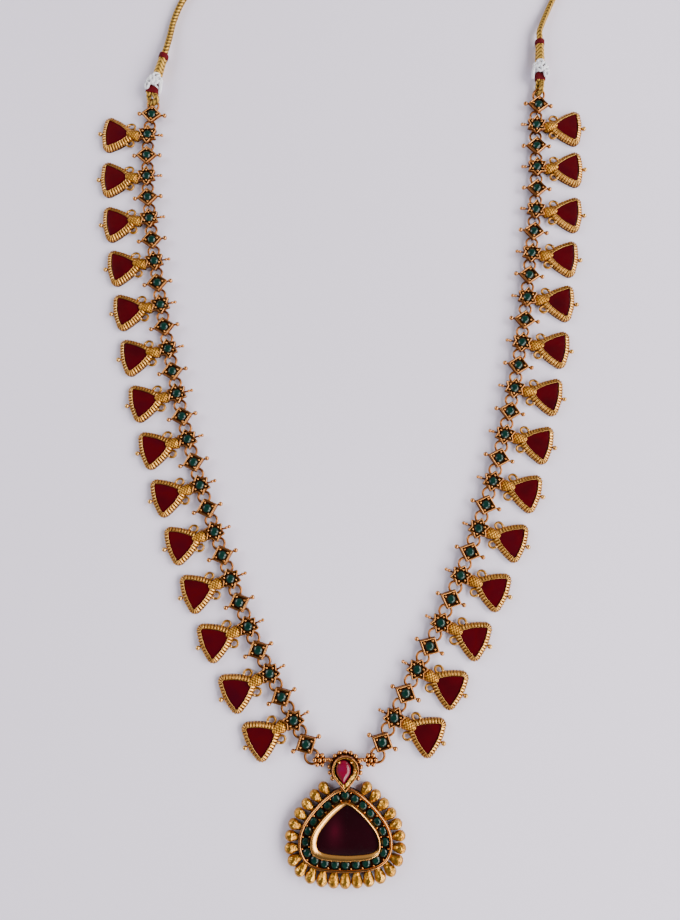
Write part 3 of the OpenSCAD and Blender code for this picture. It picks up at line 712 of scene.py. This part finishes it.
for side in CHAIN_ROUTE:
    strand_radius = STRAND_DIAMETER / 2 + STRAND_FULLER[side]
    line = loop_path(side)
    line[:, 2] = np.maximum(line[:, 2], strand_radius)
    strand = closed_shape(*braid(line, strand_radius, STRAND_PLAIT, sides=20))
    lower = wound(stadium(STRAND_SPREAD[side], strand_radius + 0.3), 2.8, 0.32, 0.12)
    upper = wound(circle(1.95), 2.3, 0.3, 0.12)
    knot = on_cord(side, white_knot(outward(side)), KNOT)
    for name, shape, material in (
            ("cord_loop", strand, GOLD_THREAD),
            ("lower_binding", on_cord(side, lower, LOWER_BINDING), MAROON_THREAD),
            ("white_knot", knot, WHITE_THREAD),
            ("cord_sleeve", on_cord(side, sleeve(), SLEEVE), GOLD_THREAD),
            ("upper_binding", on_cord(side, upper, UPPER_BINDING), MAROON_THREAD)):
        make_piece(f"{side}_{name}_thread", shape, [material, MAROON_THREAD],
                                      f"{side}_{name}")


# Jump rings

PENDANT_RING = 2.4
ROSETTE_REACH = 8.8
ROSETTE_LEVEL = 9.0
RING_FULLER, RING_WIDER = 0.14, 0.12
RING_STEPS = 30


def rosette_middle(side):
    return PENDANT + [-outward(side) * ROSETTE_REACH, ROSETTE_LEVEL]


def rosette_eye(side):
    return rosette_middle(side) - [outward(side) * 0.55, 0.2]


def pendant_ring_middle(side):
    a = chains[side][0] - EYE_REACH * station_run(side, 0)
    b = rosette_eye(side)
    sag = math.sqrt(PENDANT_RING ** 2 - (np.linalg.norm(b - a) / 2) ** 2)
    return (a + b) / 2 - outward(side) * sag * left_of(unit(b - a))


def jump_ring(shape, middle, radius, turn=np.eye(3)):
    ring(shape, middle, radius, RING_WIRE + RING_FULLER, RING_STEPS, turn, 0.25)


def jump_rings(side):
    """Flat rings between the links and at the pendant, and the tilted one that holds the cord."""
    shape = Shape()
    radius = ring_radius(side) + RING_WIDER
    for k in range(1, STATIONS, 2):
        jump_ring(shape, [*chains[side][k], RING_HEIGHT], radius)
    jump_ring(shape, [*pendant_ring_middle(side), RING_HEIGHT], PENDANT_RING)
    run = unit(CORD_START[side] - cord_eye(side))
    slope = np.array([*(math.cos(CORD_RING_TILT) * run), math.sin(CORD_RING_TILT)])
    across = np.array([*left_of(run), 0])
    middle = np.array([*cord_eye(side), RING_HEIGHT]) + ring_radius(side) * slope
    jump_ring(shape, middle, radius, [slope, across, np.cross(slope, across)])
    return shape


# Parts that links share

EYE_RADIUS, EYE_WIRE, EYE_STEPS = 0.8, 0.4, 20


def eye(shape, place, turn, recess):
    """Upright ring that a jump ring passes through."""
    ring(shape, [*place, RING_HEIGHT], EYE_RADIUS, EYE_WIRE, EYE_STEPS, turn, recess)


def link_foot(shape):
    shape.skin(turned([(1.3, 0), (1.4, 0.1), (1.4, PLATE_UNDER)], 20), 0.8, start=True)
    for end in (-1, 1):
        eye(shape, [0, end * EYE_REACH], [[0, 1, 0], [0, 0, 1], [1, 0, 0]], 0.45)


def cut_stone(radius, base):
    """Round stone with an octagonal table, two rows of crown facets and an open foot."""
    shape = Shape()

    def level(share, z, count=16, shift=0.0):
        return at_height(polar(share * radius, turns(count, shift)), base + z)

    girdle = level(1, 0.46)
    shape.skin([level(0.5, 0), level(1, 0.36), girdle], smooth=False)
    table, middle = level(0.58, 0.9, 8, 0.5), level(0.83, 0.72, 8)
    points = np.vstack([girdle, middle, table])
    faces = []
    for i in range(8):
        g, m, t = 2 * i, 16 + i, 24 + i
        m_next, t_before = 16 + (i + 1) % 8, 24 + (i - 1) % 8
        faces += [[g, (g + 1) % 16, m], [(g - 1) % 16, g, m], [(g + 1) % 16, m_next, m],
                  [m, m_next, t], [m, t, t_before]]
    shape.add(points, faces, smooth=False)
    shape.add(table, [list(range(8))], smooth=False)
    return shape


link_stone = cut_stone(1.55, PLATE_TOP + 0.1)


def prong(shape, place, base, top, radius):
    shape.skin(turned([(0.75 * radius, base), (0.68 * radius, top)], 10) + [*place, 0], 0.6)
    ball(shape, [*place, top], radius, 10, 7, recess=0.02)


def stone_setting(shape, count, first):
    """Prongs round a link's stone, the first at an angle, and the collar under it."""
    for place in polar(PRONG_REACH, math.radians(first) + turns(count)):
        prong(shape, place, DISH, PRONG_TOP, PRONG_RADIUS)
    shape.skin(turned([(1.78, DISH - 0.1), (1.76, 2.66), (1.7, 2.74), (1.6, 2.7), (1.58, 2.3)], 24),
               [0.9, 0.8, 0.7, 0.8, 1.0])


# Round top of a wall: share of its thickness, how far below its top, and recess
WALL_ROUND = [(0, 0.26, 0.3), (0.05, 0.14, 0.12), (0.25, 0.03, 0), (0.5, 0, 0), (0.75, 0.03, 0),
              (0.95, 0.14, 0.15), (1, 0.26, 0.45)]


def link_wall(shape, outline, thick):
    """Wire wall that stands on the outline of a link's plate."""
    top = [(share * thick, WALL_TOP - down, deep) for share, down, deep in WALL_ROUND]
    shape.stand(outline, [(0, PLATE_UNDER, 0.75), *top, (thick, DISH, 1.0)])


# Flower link with its glass drop

PETALS = 6
FLOWER_RADIUS = 3.7
# Angle from a petal's middle in degrees, and share of the flower's radius
PETAL_SHAPE = [(-21, 0.8), (-11, 0.93), (-2.5, 1.05), (2.5, 1.05), (11, 0.93), (21, 0.8), (30, 0.73)]


def flower_outline():
    rows = [(90 + 360 / PETALS * i + a, share) for i in range(PETALS) for a, share in PETAL_SHAPE]
    return closed_curve([polar(FLOWER_RADIUS * share, math.radians(a)) for a, share in rows], 3)


def flower():
    """Six-petalled flower on a leafy plate, with a finial on the neck side."""
    shape = Shape()
    link_foot(shape)
    outline = flower_outline()
    link_wall(shape, outline, 0.5)
    shape.stand(outline, [(0.42, DISH + 0.1, 1.0), (0.9, DISH, 0.9)], end=[0, 0, DISH])
    turn = turns(72)
    leaves = polar(2.62 + 0.62 * np.cos(PETALS * (turn - math.pi / 3)), turn)
    shape.stand(leaves, [(0.1, 1.7, 0.9), (0, 1.8, 0.6), (0, 2.0, 0.35), (0.12, 2.12, 0.25),
                         (0.9, 2.14, 0.8)], start=True)
    stone_setting(shape, PETALS, 90)
    rod(shape, [-5.6, 0, 2.0], [-1.2, 0, 2.0], 0.34)
    ball(shape, [-4.5, 0, 2.05], 0.58, 16, 10)
    ball(shape, [-5.6, 0, 2.05], 0.66, 16, 10)
    return shape


# Share of the cap's length, and share of its greatest radius
CAP_SHAPE = [(0, 0.6), (0.06, 0.82), (0.15, 0.96), (0.28, 1.03), (0.42, 1.0), (0.6, 0.86),
             (0.8, 0.64), (0.93, 0.42), (1, 0.26)]
CAP_BACK, CAP_END, CAP_RADIUS, CAP_AXIS = 3.15, 8.2, 2.25, 0.75
CAP_STEPS, CAP_SIDES = 43, 49
GRAINS_ALONG, GRAINS_ACROSS, GRAIN_HEIGHT = 5, 6, 0.34


def cap(shape):
    """Cap over the drop's tip, pointed towards the glass, its matte skin granulated."""
    share = np.linspace(0, 1, CAP_STEPS)
    radius = CAP_RADIUS * np.interp(share, *zip(*CAP_SHAPE))
    x = CAP_BACK + (CAP_END - CAP_BACK) * share
    axis = CAP_AXIS + 1.75 * share ** 2
    dip = np.arcsin(np.clip(axis / radius, -1, 1))[:, None]
    across = np.linspace(0, 1, CAP_SIDES)[None, :]
    angle = -dip + (math.pi + 2 * dip) * across
    high = np.sqrt(0.5 + 0.5 * np.cos(TURN * GRAINS_ALONG * share)[:, None]
                   * np.cos(TURN * GRAINS_ACROSS * (across - 0.5)))
    fade = np.clip(np.minimum(share / 0.06, (1 - share) / 0.08), 0, 1)[:, None]
    r = radius[:, None] - GRAIN_HEIGHT * (1 - high) * fade
    rings = np.stack([np.broadcast_to(x[:, None], r.shape), r * np.cos(angle),
                      np.maximum(axis[:, None] + r * np.sin(angle), 0)], -1)
    shape.skin(rings, 1.45 * (1 - high) * fade, wrap=False, finish=IN_MATTE)
    for row in (rings[:1], rings[-1:]):
        shape.skin(row.repeat(2, 0) * [[[1, 1, 1]], [[1, 0.1, 0.9]]], 0.5, wrap=False,
                   finish=IN_MATTE)


SCROLL_MIDDLE, SCROLL_SIZE, SCROLL_HEIGHT = (6.9, 3.6), (1.35, 1.25), 1.2
SCROLL_STEPS = 26


def scroll(shape, hand):
    """Wire loop beside the cap, from a ball on the frame round to the cap."""
    angle = np.radians(np.linspace(20, 325, SCROLL_STEPS))
    path = at_height((SCROLL_MIDDLE + polar(1, angle) * SCROLL_SIZE) * [1, hand], SCROLL_HEIGHT)
    taper = np.linspace(0.5, 0.42, SCROLL_STEPS)
    shape.skin(swept(path, taper, 10), 0.3, start=True, end=True, finish=IN_YELLOW)
    ball(shape, path[0] + [0.1, 0, 0.35], 0.58, 14, 10, finish=IN_YELLOW)


DROP_TIP, DROP_BASE, DROP_HALF, BULGE = 5.2, 18.5, 7.4, 0.55
DROP_CORNER, TIP_CORNER = 2.6, 1.7
RIBS, RIB_STEPS, RIB_CUT = 39, 6, 0.4


def drop_outline(count):
    """Rounded triangle with bulging sides."""
    tip = np.array([DROP_TIP + TIP_CORNER, 0])
    base = np.array([DROP_BASE - BULGE - DROP_CORNER, DROP_HALF - DROP_CORNER])
    low = base * [1, -1]
    slope = math.degrees(angle_of(base - tip) + math.asin((DROP_CORNER - TIP_CORNER)
                                                          / np.linalg.norm(base - tip)))
    corners = [(low, DROP_CORNER, -90 - slope, 0), (base, DROP_CORNER, 0, 90 + slope),
               (tip, TIP_CORNER, 90 + slope, 270 - slope)]
    points = []
    for i, (middle, radius, start, end) in enumerate(corners):
        after, after_radius = corners[(i + 1) % 3][:2]
        points.extend(middle + polar(radius, np.radians(np.linspace(start, end, 13))))
        out = polar(1, math.radians(end))
        for t in np.linspace(0, 1, 14)[1:-1]:
            wide = radius + (after_radius - radius) * t + 4 * BULGE * t * (1 - t)
            points.append(middle + (after - middle) * t + out * wide)
    return even_closed(np.array(points), count)


# Profile of the border: how far inward, how high, and how much the ribs are cut
BORDER = [(0.12, 0, 0), (0.02, 0.4, 0.2), (0.0, 0.9, 0.8), (0.02, 1.35, 1), (0.14, 1.72, 1),
          (0.36, 1.98, 1), (0.75, 2.24, 1), (1.2, 2.47, 1), (1.58, 2.61, 0.9),
          (1.68, 2.62, 0.15), (1.78, 2.67, 0), (1.86, 2.6, 0), (1.9, 2.1, 0), (1.9, 0.8, 0)]


def drop_frame(shape):
    """Border of the glass drop, cut all round into ribs."""
    count = RIBS * RIB_STEPS
    outline = drop_outline(count)
    out = normals(outline)
    phase = np.arange(count) % RIB_STEPS / RIB_STEPS - 0.5
    high = 1 - (2 * np.abs(phase)) ** 2.4
    rows = np.array(BORDER)
    run = np.gradient(rows[:, :2], axis=0)
    run /= np.linalg.norm(run, axis=1)[:, None]
    rings, deep = [], []
    for (depth, z, weight), (inward, up) in zip(rows, run):
        cut = RIB_CUT * weight * (1 - high)
        flat = outline - (depth + cut * up)[:, None] * out
        rings.append(at_height(flat, z - cut * inward))
        # Rows below 0.6 mm, by the floor, take painted shade
        deep.append(1.25 * weight * (1 - high) ** 0.9 + (0.5 if z < 0.6 else 0))
    deep[-2:] = [np.full(count, 0.8), np.full(count, 1.0)]
    shape.skin(np.maximum(rings, [-np.inf, -np.inf, 0]), deep, start=True, finish=IN_YELLOW)


# Near the tip the glass reaches further under the border, so that its edge doesn't fold
TIP_REACH, TIP_START, TIP_FADE = 0.4, 9.0, 1.5


def drop_glass():
    """Flat glass with a slightly domed top."""
    outline = drop_outline(90)
    near_tip = np.clip((TIP_START - outline[:, :1]) / TIP_FADE, 0, 1)
    outline += TIP_REACH * near_tip * normals(outline)
    side = wall(outline, [(1.94, 0.9), (1.94, 2.2), (1.97, 2.26), (2.02, 2.28)])
    middle = np.array([13.2, 0, 2.28])
    dome = [middle + (side[-1] - middle) * share + [0, 0, 0.1 * (1 - share ** 2)]
            for share in (1, 0.93, 0.75, 0.5, 0.2)]
    return closed_shape([*side[:-1], *dome])


def drop_link():
    shape = flower()
    rod(shape, [1.0, 0, 1.1], [6.2, 0, 1.1], 0.85, 14, recess=0.7)
    cap(shape)
    for hand in (-1, 1):
        scroll(shape, hand)
    drop_frame(shape)
    rod(shape, [17.6, 0, 1.35], [19.3, 0, 1.35], 0.36)
    ball(shape, [19.3, 0, 1.35], 0.88, 18, 12, finish=IN_YELLOW)
    return shape


# Square link

SQUARE_HALF = np.array([4.1, 3.8])
BEAD_STEPS = 84


def square_outline(half, count):
    """Outline of a lozenge with small rounded corners."""
    across, along = half
    corners = np.array([[across, 0], [0, along], [-across, 0], [0, -along]])
    points = []
    for i in range(4):
        here, after, before = corners[i], corners[(i + 1) % 4], corners[i - 1]
        points += [here + 0.07 * (before - here), here + 0.015 * (before + after - 2 * here),
                   here + 0.07 * (after - here)]
        points += [here + t * (after - here) for t in (0.25, 0.5, 0.75)]
    return even_closed(np.array(points), count)


def square_link():
    """Square setting with a beaded wire under its edge and a finial on each side."""
    shape = Shape()
    link_foot(shape)
    outline = square_outline(SQUARE_HALF, 80)
    link_wall(shape, outline, 0.62)
    shape.stand(outline, [(0.44, DISH + 0.05, 1.0), (0.9, DISH, 0.85)], end=[0, 0, DISH])
    shape.stand(outline, [(0, 1.85, 0.9), (0.15, PLATE_UNDER, 0.9)], end=[0, 0, PLATE_UNDER])
    wire = at_height(square_outline(SQUARE_HALF + 0.03, BEAD_STEPS), 2.02)
    beads = np.cos(math.pi * np.arange(BEAD_STEPS))
    shape.skin(swept(wire, 0.17 + 0.055 * beads, 6, closed=True), 0.5 - 0.5 * beads, loop=True)
    stone_setting(shape, 4, 0)
    for hand in (-1, 1):
        rod(shape, [hand * 3.3, 0, 2.0], [hand * 5.1, 0, 2.0], 0.38)
        ball(shape, [hand * 5.1, 0, 2.0], 0.86, 18, 12)
    return shape


def at_links(template, side, numbers):
    """Copies of a link, or of a part of it, at stations of a chain."""
    shape = Shape()
    for k in numbers:
        run = station_run(side, 2 * k)
        shape.merge(template, [*chains[side][2 * k], 0],
                    about_z(angle_of(outward(side) * left_of(run))))
    return shape


# Pendant

rim = closed_curve([RIM_BOTTOM, *RIM_HALF, [0, 0], *[[-x, y] for x, y in RIM_HALF[::-1]]], 12)
PENDANT_MIDDLE = np.array([*PENDANT, 0])
CROWN_MIDDLE = PENDANT_MIDDLE + [0, 6.1, 0]
RUBY_SHIFT = np.array([-0.6, 0])
BEZEL_SHIFT = np.array([0.75, 0.3])


def inset(outline, depth):
    return outline - depth * normals(outline)


def along_outline(outline, distances):
    """Places and outward angles every so often along a closed outline."""
    closed = np.vstack([outline, outline[:1]])
    total = run_lengths(closed)[-1]
    for d in distances:
        s = d % total
        here, before, after = at_runs(closed, [s, (s - 0.3) % total, (s + 0.3) % total])
        yield here, angle_of(-left_of(unit(after - before)))


def halo_places(inward, shift=0.0):
    """Places and outward angles at the stones of the halo, or between them."""
    path = inset(rim, inward)
    step = run_lengths(np.vstack([path, path[:1]]))[-1] / HALO_COUNT
    return along_outline(path, [(i + shift) * step for i in range(HALO_COUNT)])


PETAL_RADIUS, PETAL_TIP_RADIUS, PETAL_LENGTH = 1.88, 0.8, 5.1
PETAL_SIDES = 42
DENT = 0.06


def petal():
    """Hammered teardrop, its skin covered by shallow irregular dents."""
    tip = PETAL_LENGTH - PETAL_RADIUS
    lean = math.asin((PETAL_RADIUS - PETAL_TIP_RADIUS) / tip)
    small, large = PETAL_TIP_RADIUS * math.cos(lean), PETAL_RADIUS * math.cos(lean)
    profile = [(0.3, -tip - 0.05), (small, -tip)]
    profile += [(small * (1 - t) + large * t, -tip * (1 - t) - PETAL_RADIUS * math.sin(lean) * t)
                for t in (0.25, 0.5, 0.75)]
    profile = np.vstack([profile, polar(PETAL_RADIUS, np.linspace(-lean, math.radians(88), 18))])
    turn = turns(PETAL_SIDES)
    rows = np.arange(len(profile))
    weight = np.clip((rows - 2) / 4, 0, 1) * np.clip((len(rows) - 1 - rows) / 3, 0, 1)
    along = rows[:, None] * TURN / len(rows)
    dent = 0.5 + 0.5 * np.cos(6 * turn[None] + 2 * np.sin(3 * along)) * np.cos(
        4 * along + 1.5 * np.sin(2 * turn)[None])
    r = profile[:, :1] * (1 - weight[:, None] * DENT * (1 - dent))
    rings = np.stack([np.broadcast_to(profile[:, 1:], r.shape), r * np.cos(turn),
                      r * np.sin(turn) + PETAL_RADIUS + 0.05], -1)
    deep = weight[:, None] * 0.45 * (1 - dent) + (0.4 * (1 - weight) * (rows < 6))[:, None]
    # Painted shade: the petal darkens towards the floor, below 1.2 mm
    low = np.clip((1.2 - rings[..., 2]) / 1.2, 0, 1)
    shape = Shape()
    shape.skin(rings, np.clip(deep + 0.6 * low, 0, 1), finish=IN_HAMMERED, start=True, end=True)
    return shape


PEAR_POINT = 6.9 / 4.4
# Tables of the crown: how far inward, how high, recess, and share of the ruby's shift
CROWN_PLATE = [(0.1, 0, 0.9), (0, 0.15, 0.8), (0, 1.15, 0.6), (0.12, 1.3, 0.6), (1.5, 1.32, 1.0)]
CROWN_BEZEL = [(0, 1.2, 1.0), (0, 4.35, 0.35), (0.05, 4.6, 0.1), (0.16, 4.76, 0), (0.28, 4.8, 0),
               (0.4, 4.72, 0.1), (0.5, 4.5, 0.4), (0.56, 4.1, 0.9)]
CROWN_FOIL = [(0, 4.1, 0.9, 0), (0.08, 4.26, 0.2, 0), (0.2, 4.26, 0, 0), (0.45, 3.95, 0.05, 0.4),
              (0.75, 3.5, 0.15, 1), (0.9, 2.8, 0.6, 1)]
# Angle in degrees and reach of the prongs on the ruby
CROWN_PRONGS = [(50, 3.3), (130, 3.3), (262, 4.9), (350, 3.35)]


def pear_outline(radius, count=96):
    """Circle with a point at the bottom."""
    point = PEAR_POINT * radius
    meet = math.degrees(math.acos(radius / point))
    arc = np.radians(np.linspace(-90 + meet, 270 - meet, 60))
    return even_closed(np.vstack([polar(radius, arc), [[0, -point]]]), count)


def crown(shape):
    """Pear-shaped bezel on a round plate, with a row of granules round its top."""
    shape.stand(circle(5.3, 60), CROWN_PLATE, CROWN_MIDDLE, start=True)
    shape.stand(pear_outline(4.65), CROWN_BEZEL, CROWN_MIDDLE)
    shape.stand(pear_outline(4.08), CROWN_FOIL, CROWN_MIDDLE, RUBY_SHIFT, finish=IN_HAMMERED)
    for place in polar(5.4, np.radians(90 + 21 * np.arange(-6, 7))):
        middle = CROWN_MIDDLE + [*place, 0]
        shape.skin(turned([(0.62, 1.1), (0.5, 1.6)], 12) + middle, 0.9)
        ball(shape, middle + [0, 0, 1.9], 0.84, 18, 12)
    for a, reach in CROWN_PRONGS:
        ball(shape, CROWN_MIDDLE + [*polar(reach, math.radians(a)), 4.45], 0.4, 14, 10,
             finish=IN_POLISHED)


def rosette(shape, side):
    """Seven granules on a plate beside the crown, with the eye that holds a chain."""
    middle = np.array([*rosette_middle(side), 0])
    shape.stand(circle(1.95), [(0.1, 1.8, 0.8), (0, 1.85, 0.7), (0, 2.2, 0.6), (0.1, 2.27, 0.8),
                               (1.35, 2.27, 1)], middle, start=True, end=True)
    ball(shape, middle + [0, 0, 2.75], 0.85, 18, 12)
    for place in circle(1.75, 6):
        ball(shape, middle + [*place, 2.45], 0.82, 18, 12)
    inward = outward(side)
    rod(shape, middle + [inward * 1.2, 0, 1.7], middle + [inward * 5.2, 0, 1.7], 0.5, 12, 0.6)
    ball(shape, middle + [inward * 3.05, 0, 2.1], 0.7, 16, 10)
    place = rosette_eye(side)
    face = unit(place - pendant_ring_middle(side))
    eye(shape, place, [[*face, 0], [0, 0, 1], [*left_of(face), 0]], 0.4)


# Pendant's rim and bezel: how far inward, how high, recess, and share of the bezel's shift
RIM_PROFILE = [
    (0.3, 0, 0.8), (0.08, 0.08, 0.7), (0.05, 0.3, 0.6), (0.05, 2.2, 0.7), (0, 2.45, 0.8),
    (-0.1, 3.4, 0.25), (-0.05, 3.64, 0.1), (0.1, 3.82, 0), (0.36, 3.92, 0), (0.62, 3.84, 0.05),
    (0.8, 3.68, 0.2), (0.88, 3.4, 0.6), (0.92, 2.62, 0.9), (2.3, PENDANT_FLOOR, 0.85),
    (3.85, PENDANT_FLOOR, 0.85)]
BEZEL_PROFILE = [
    (3.9, 2.55, 0.9, 0), (3.95, 4.7, 0.35, 0), (4.02, 5.05, 0.1, 0), (4.15, 5.24, 0, 0),
    (4.3, 5.3, 0, 0), (4.45, 5.28, 0, 0), (4.65, 5.18, 0, 0.25), (4.85, 5.02, 0.05, 0.5),
    (5.05, 4.82, 0.1, 0.75), (5.28, 4.58, 0.25, 1), (5.36, 4.44, 0.5, 1), (5.38, 4.2, 1, 1)]
RIM_STEPS, RIM_BEADS, BEAD_POINTS = 360, 180, 5


def rim_beads():
    """Beaded wire round the outside of the rim, and its recess."""
    count = RIM_BEADS * BEAD_POINTS
    path = at_height(even_closed(inset(rim, -0.06), count) + PENDANT, 3.05)
    between = 0.5 - 0.5 * np.cos(TURN * np.arange(count) / BEAD_POINTS)
    return swept(path, 0.2 - 0.09 * between, 6, closed=True), between


def pendant_frame():
    shape = Shape()
    edge = even_closed(rim, RIM_STEPS)
    shape.stand(edge, RIM_PROFILE, PENDANT_MIDDLE, start=True)
    shape.skin(*rim_beads(), loop=True)
    shape.stand(edge, BEZEL_PROFILE, PENDANT_MIDDLE, BEZEL_SHIFT, finish=IN_POLISHED)
    drop = petal()
    distances = PETAL_PITCH * np.arange(-PETALS_A_SIDE, PETALS_A_SIDE + 1)
    for here, angle in along_outline(inset(rim, -PETAL_OUT), distances):
        down = max(0.0, -math.sin(angle))
        place = here + polar(0.4 * down, angle) + PENDANT
        shape.merge(drop, [*place, 0], about_z(angle, 1 + 0.1 * down))
    for inward in (HALO_DEPTH - HALO_PRONG_OUTER, HALO_DEPTH + HALO_PRONG_INNER):
        for here, _ in halo_places(inward, 0.5):
            prong(shape, here + PENDANT, PENDANT_FLOOR, HALO_PRONG_TOP, HALO_PRONG_RADIUS)
    crown(shape)
    for side in CHAIN_ROUTE:
        rosette(shape, side)
    return shape


def pendant_stone():
    """Large domed glass, a little off the middle of its bezel, with a painted sheen at the left."""
    edge = even_closed(rim, 240)
    side = wall(edge, [(5.45, 3.1), (5.45, 4.45)])
    side[..., :2] += BEZEL_SHIFT
    middle = np.array([0.3, -15.4, 4.45])
    dome = [middle + (side[-1] - middle) * share + [0, 0, 0.7 * (1 - share ** 2.4)]
            for share in np.cos(np.linspace(0.12, 1.5, 12))]
    rings = np.array([*side, *dome])
    # Painted sheen: a soft lighter patch at the left of the glass, passed on as its recess values
    painted_sheen = np.exp(-((rings[..., 0] + 3.6) / 2.6) ** 2 - ((rings[..., 1] + 13) / 4.5) ** 2)
    return closed_shape(rings + PENDANT_MIDDLE, 0.5 * painted_sheen)


RUBY_SIDES = 24
RUBY_STRETCH = [0.87, 1.06]
# Radius and height
RUBY_PROFILE = [(2.4, 2.7), (2.9, 3.5), (2.9, 3.7), (2.4, 4.1), (1.6, 4.4)]


def crown_stone():
    """Pear-shaped ruby with a long table and rows of facets."""
    shape = Shape()
    rings = np.array([at_height(pear_outline(radius, RUBY_SIDES) * RUBY_STRETCH, z)
                      for radius, z in RUBY_PROFILE]) + CROWN_MIDDLE + [*RUBY_SHIFT, 0]
    shape.skin(rings, smooth=False, start=True)
    shape.add(rings[-1], [list(range(RUBY_SIDES))], smooth=False)
    return shape


def halo_stones():
    shape = Shape()
    stone = cut_stone(1.4, 2.7)
    for here, angle in halo_places(HALO_DEPTH):
        shape.merge(stone, [*(here + PENDANT), 0], about_z(angle))
    return shape


# Pendant and links in place of their CAD nodes

make_piece("pendant_cast", pendant_frame(), METALS, "pendant_frame")
make_piece("pendant_glass", pendant_stone(), [DARK_GLASS], "pendant_stone")
make_piece("crown_ruby", crown_stone(), [RUBY], "crown_stone")
make_piece("halo_glass", halo_stones(), [GREEN_GLASS], "halo_stones")

link_template, square_template, glass_template = drop_link(), square_link(), drop_glass()
flowers = [2 * i - 1 for i in range(1, DROPS + 1)]
squares = list(range(0, LINKS, 2))
for side in CHAIN_ROUTE:
    for i, k in enumerate(flowers, 1):
        make_piece(f"{side}_drop_cast_{i:02d}", at_links(link_template, side, [k]), METALS,
                   f"{side}_drop_link_{i:02d}")
    for name, shape, materials, node in (
            ("drop_glass", at_links(glass_template, side, flowers), [RED_GLASS], "drop_stones"),
            ("flower_glass", at_links(link_stone, side, flowers), [GREEN_GLASS], "flower_stones"),
            ("square_cast", at_links(square_template, side, squares), METALS, "square_links"),
            ("square_glass", at_links(link_stone, side, squares), [GREEN_GLASS], "square_stones"),
            ("ring_wire", jump_rings(side), METALS, "jump_rings")):
        make_piece(f"{side}_{name}", shape, materials, f"{side}_{node}")
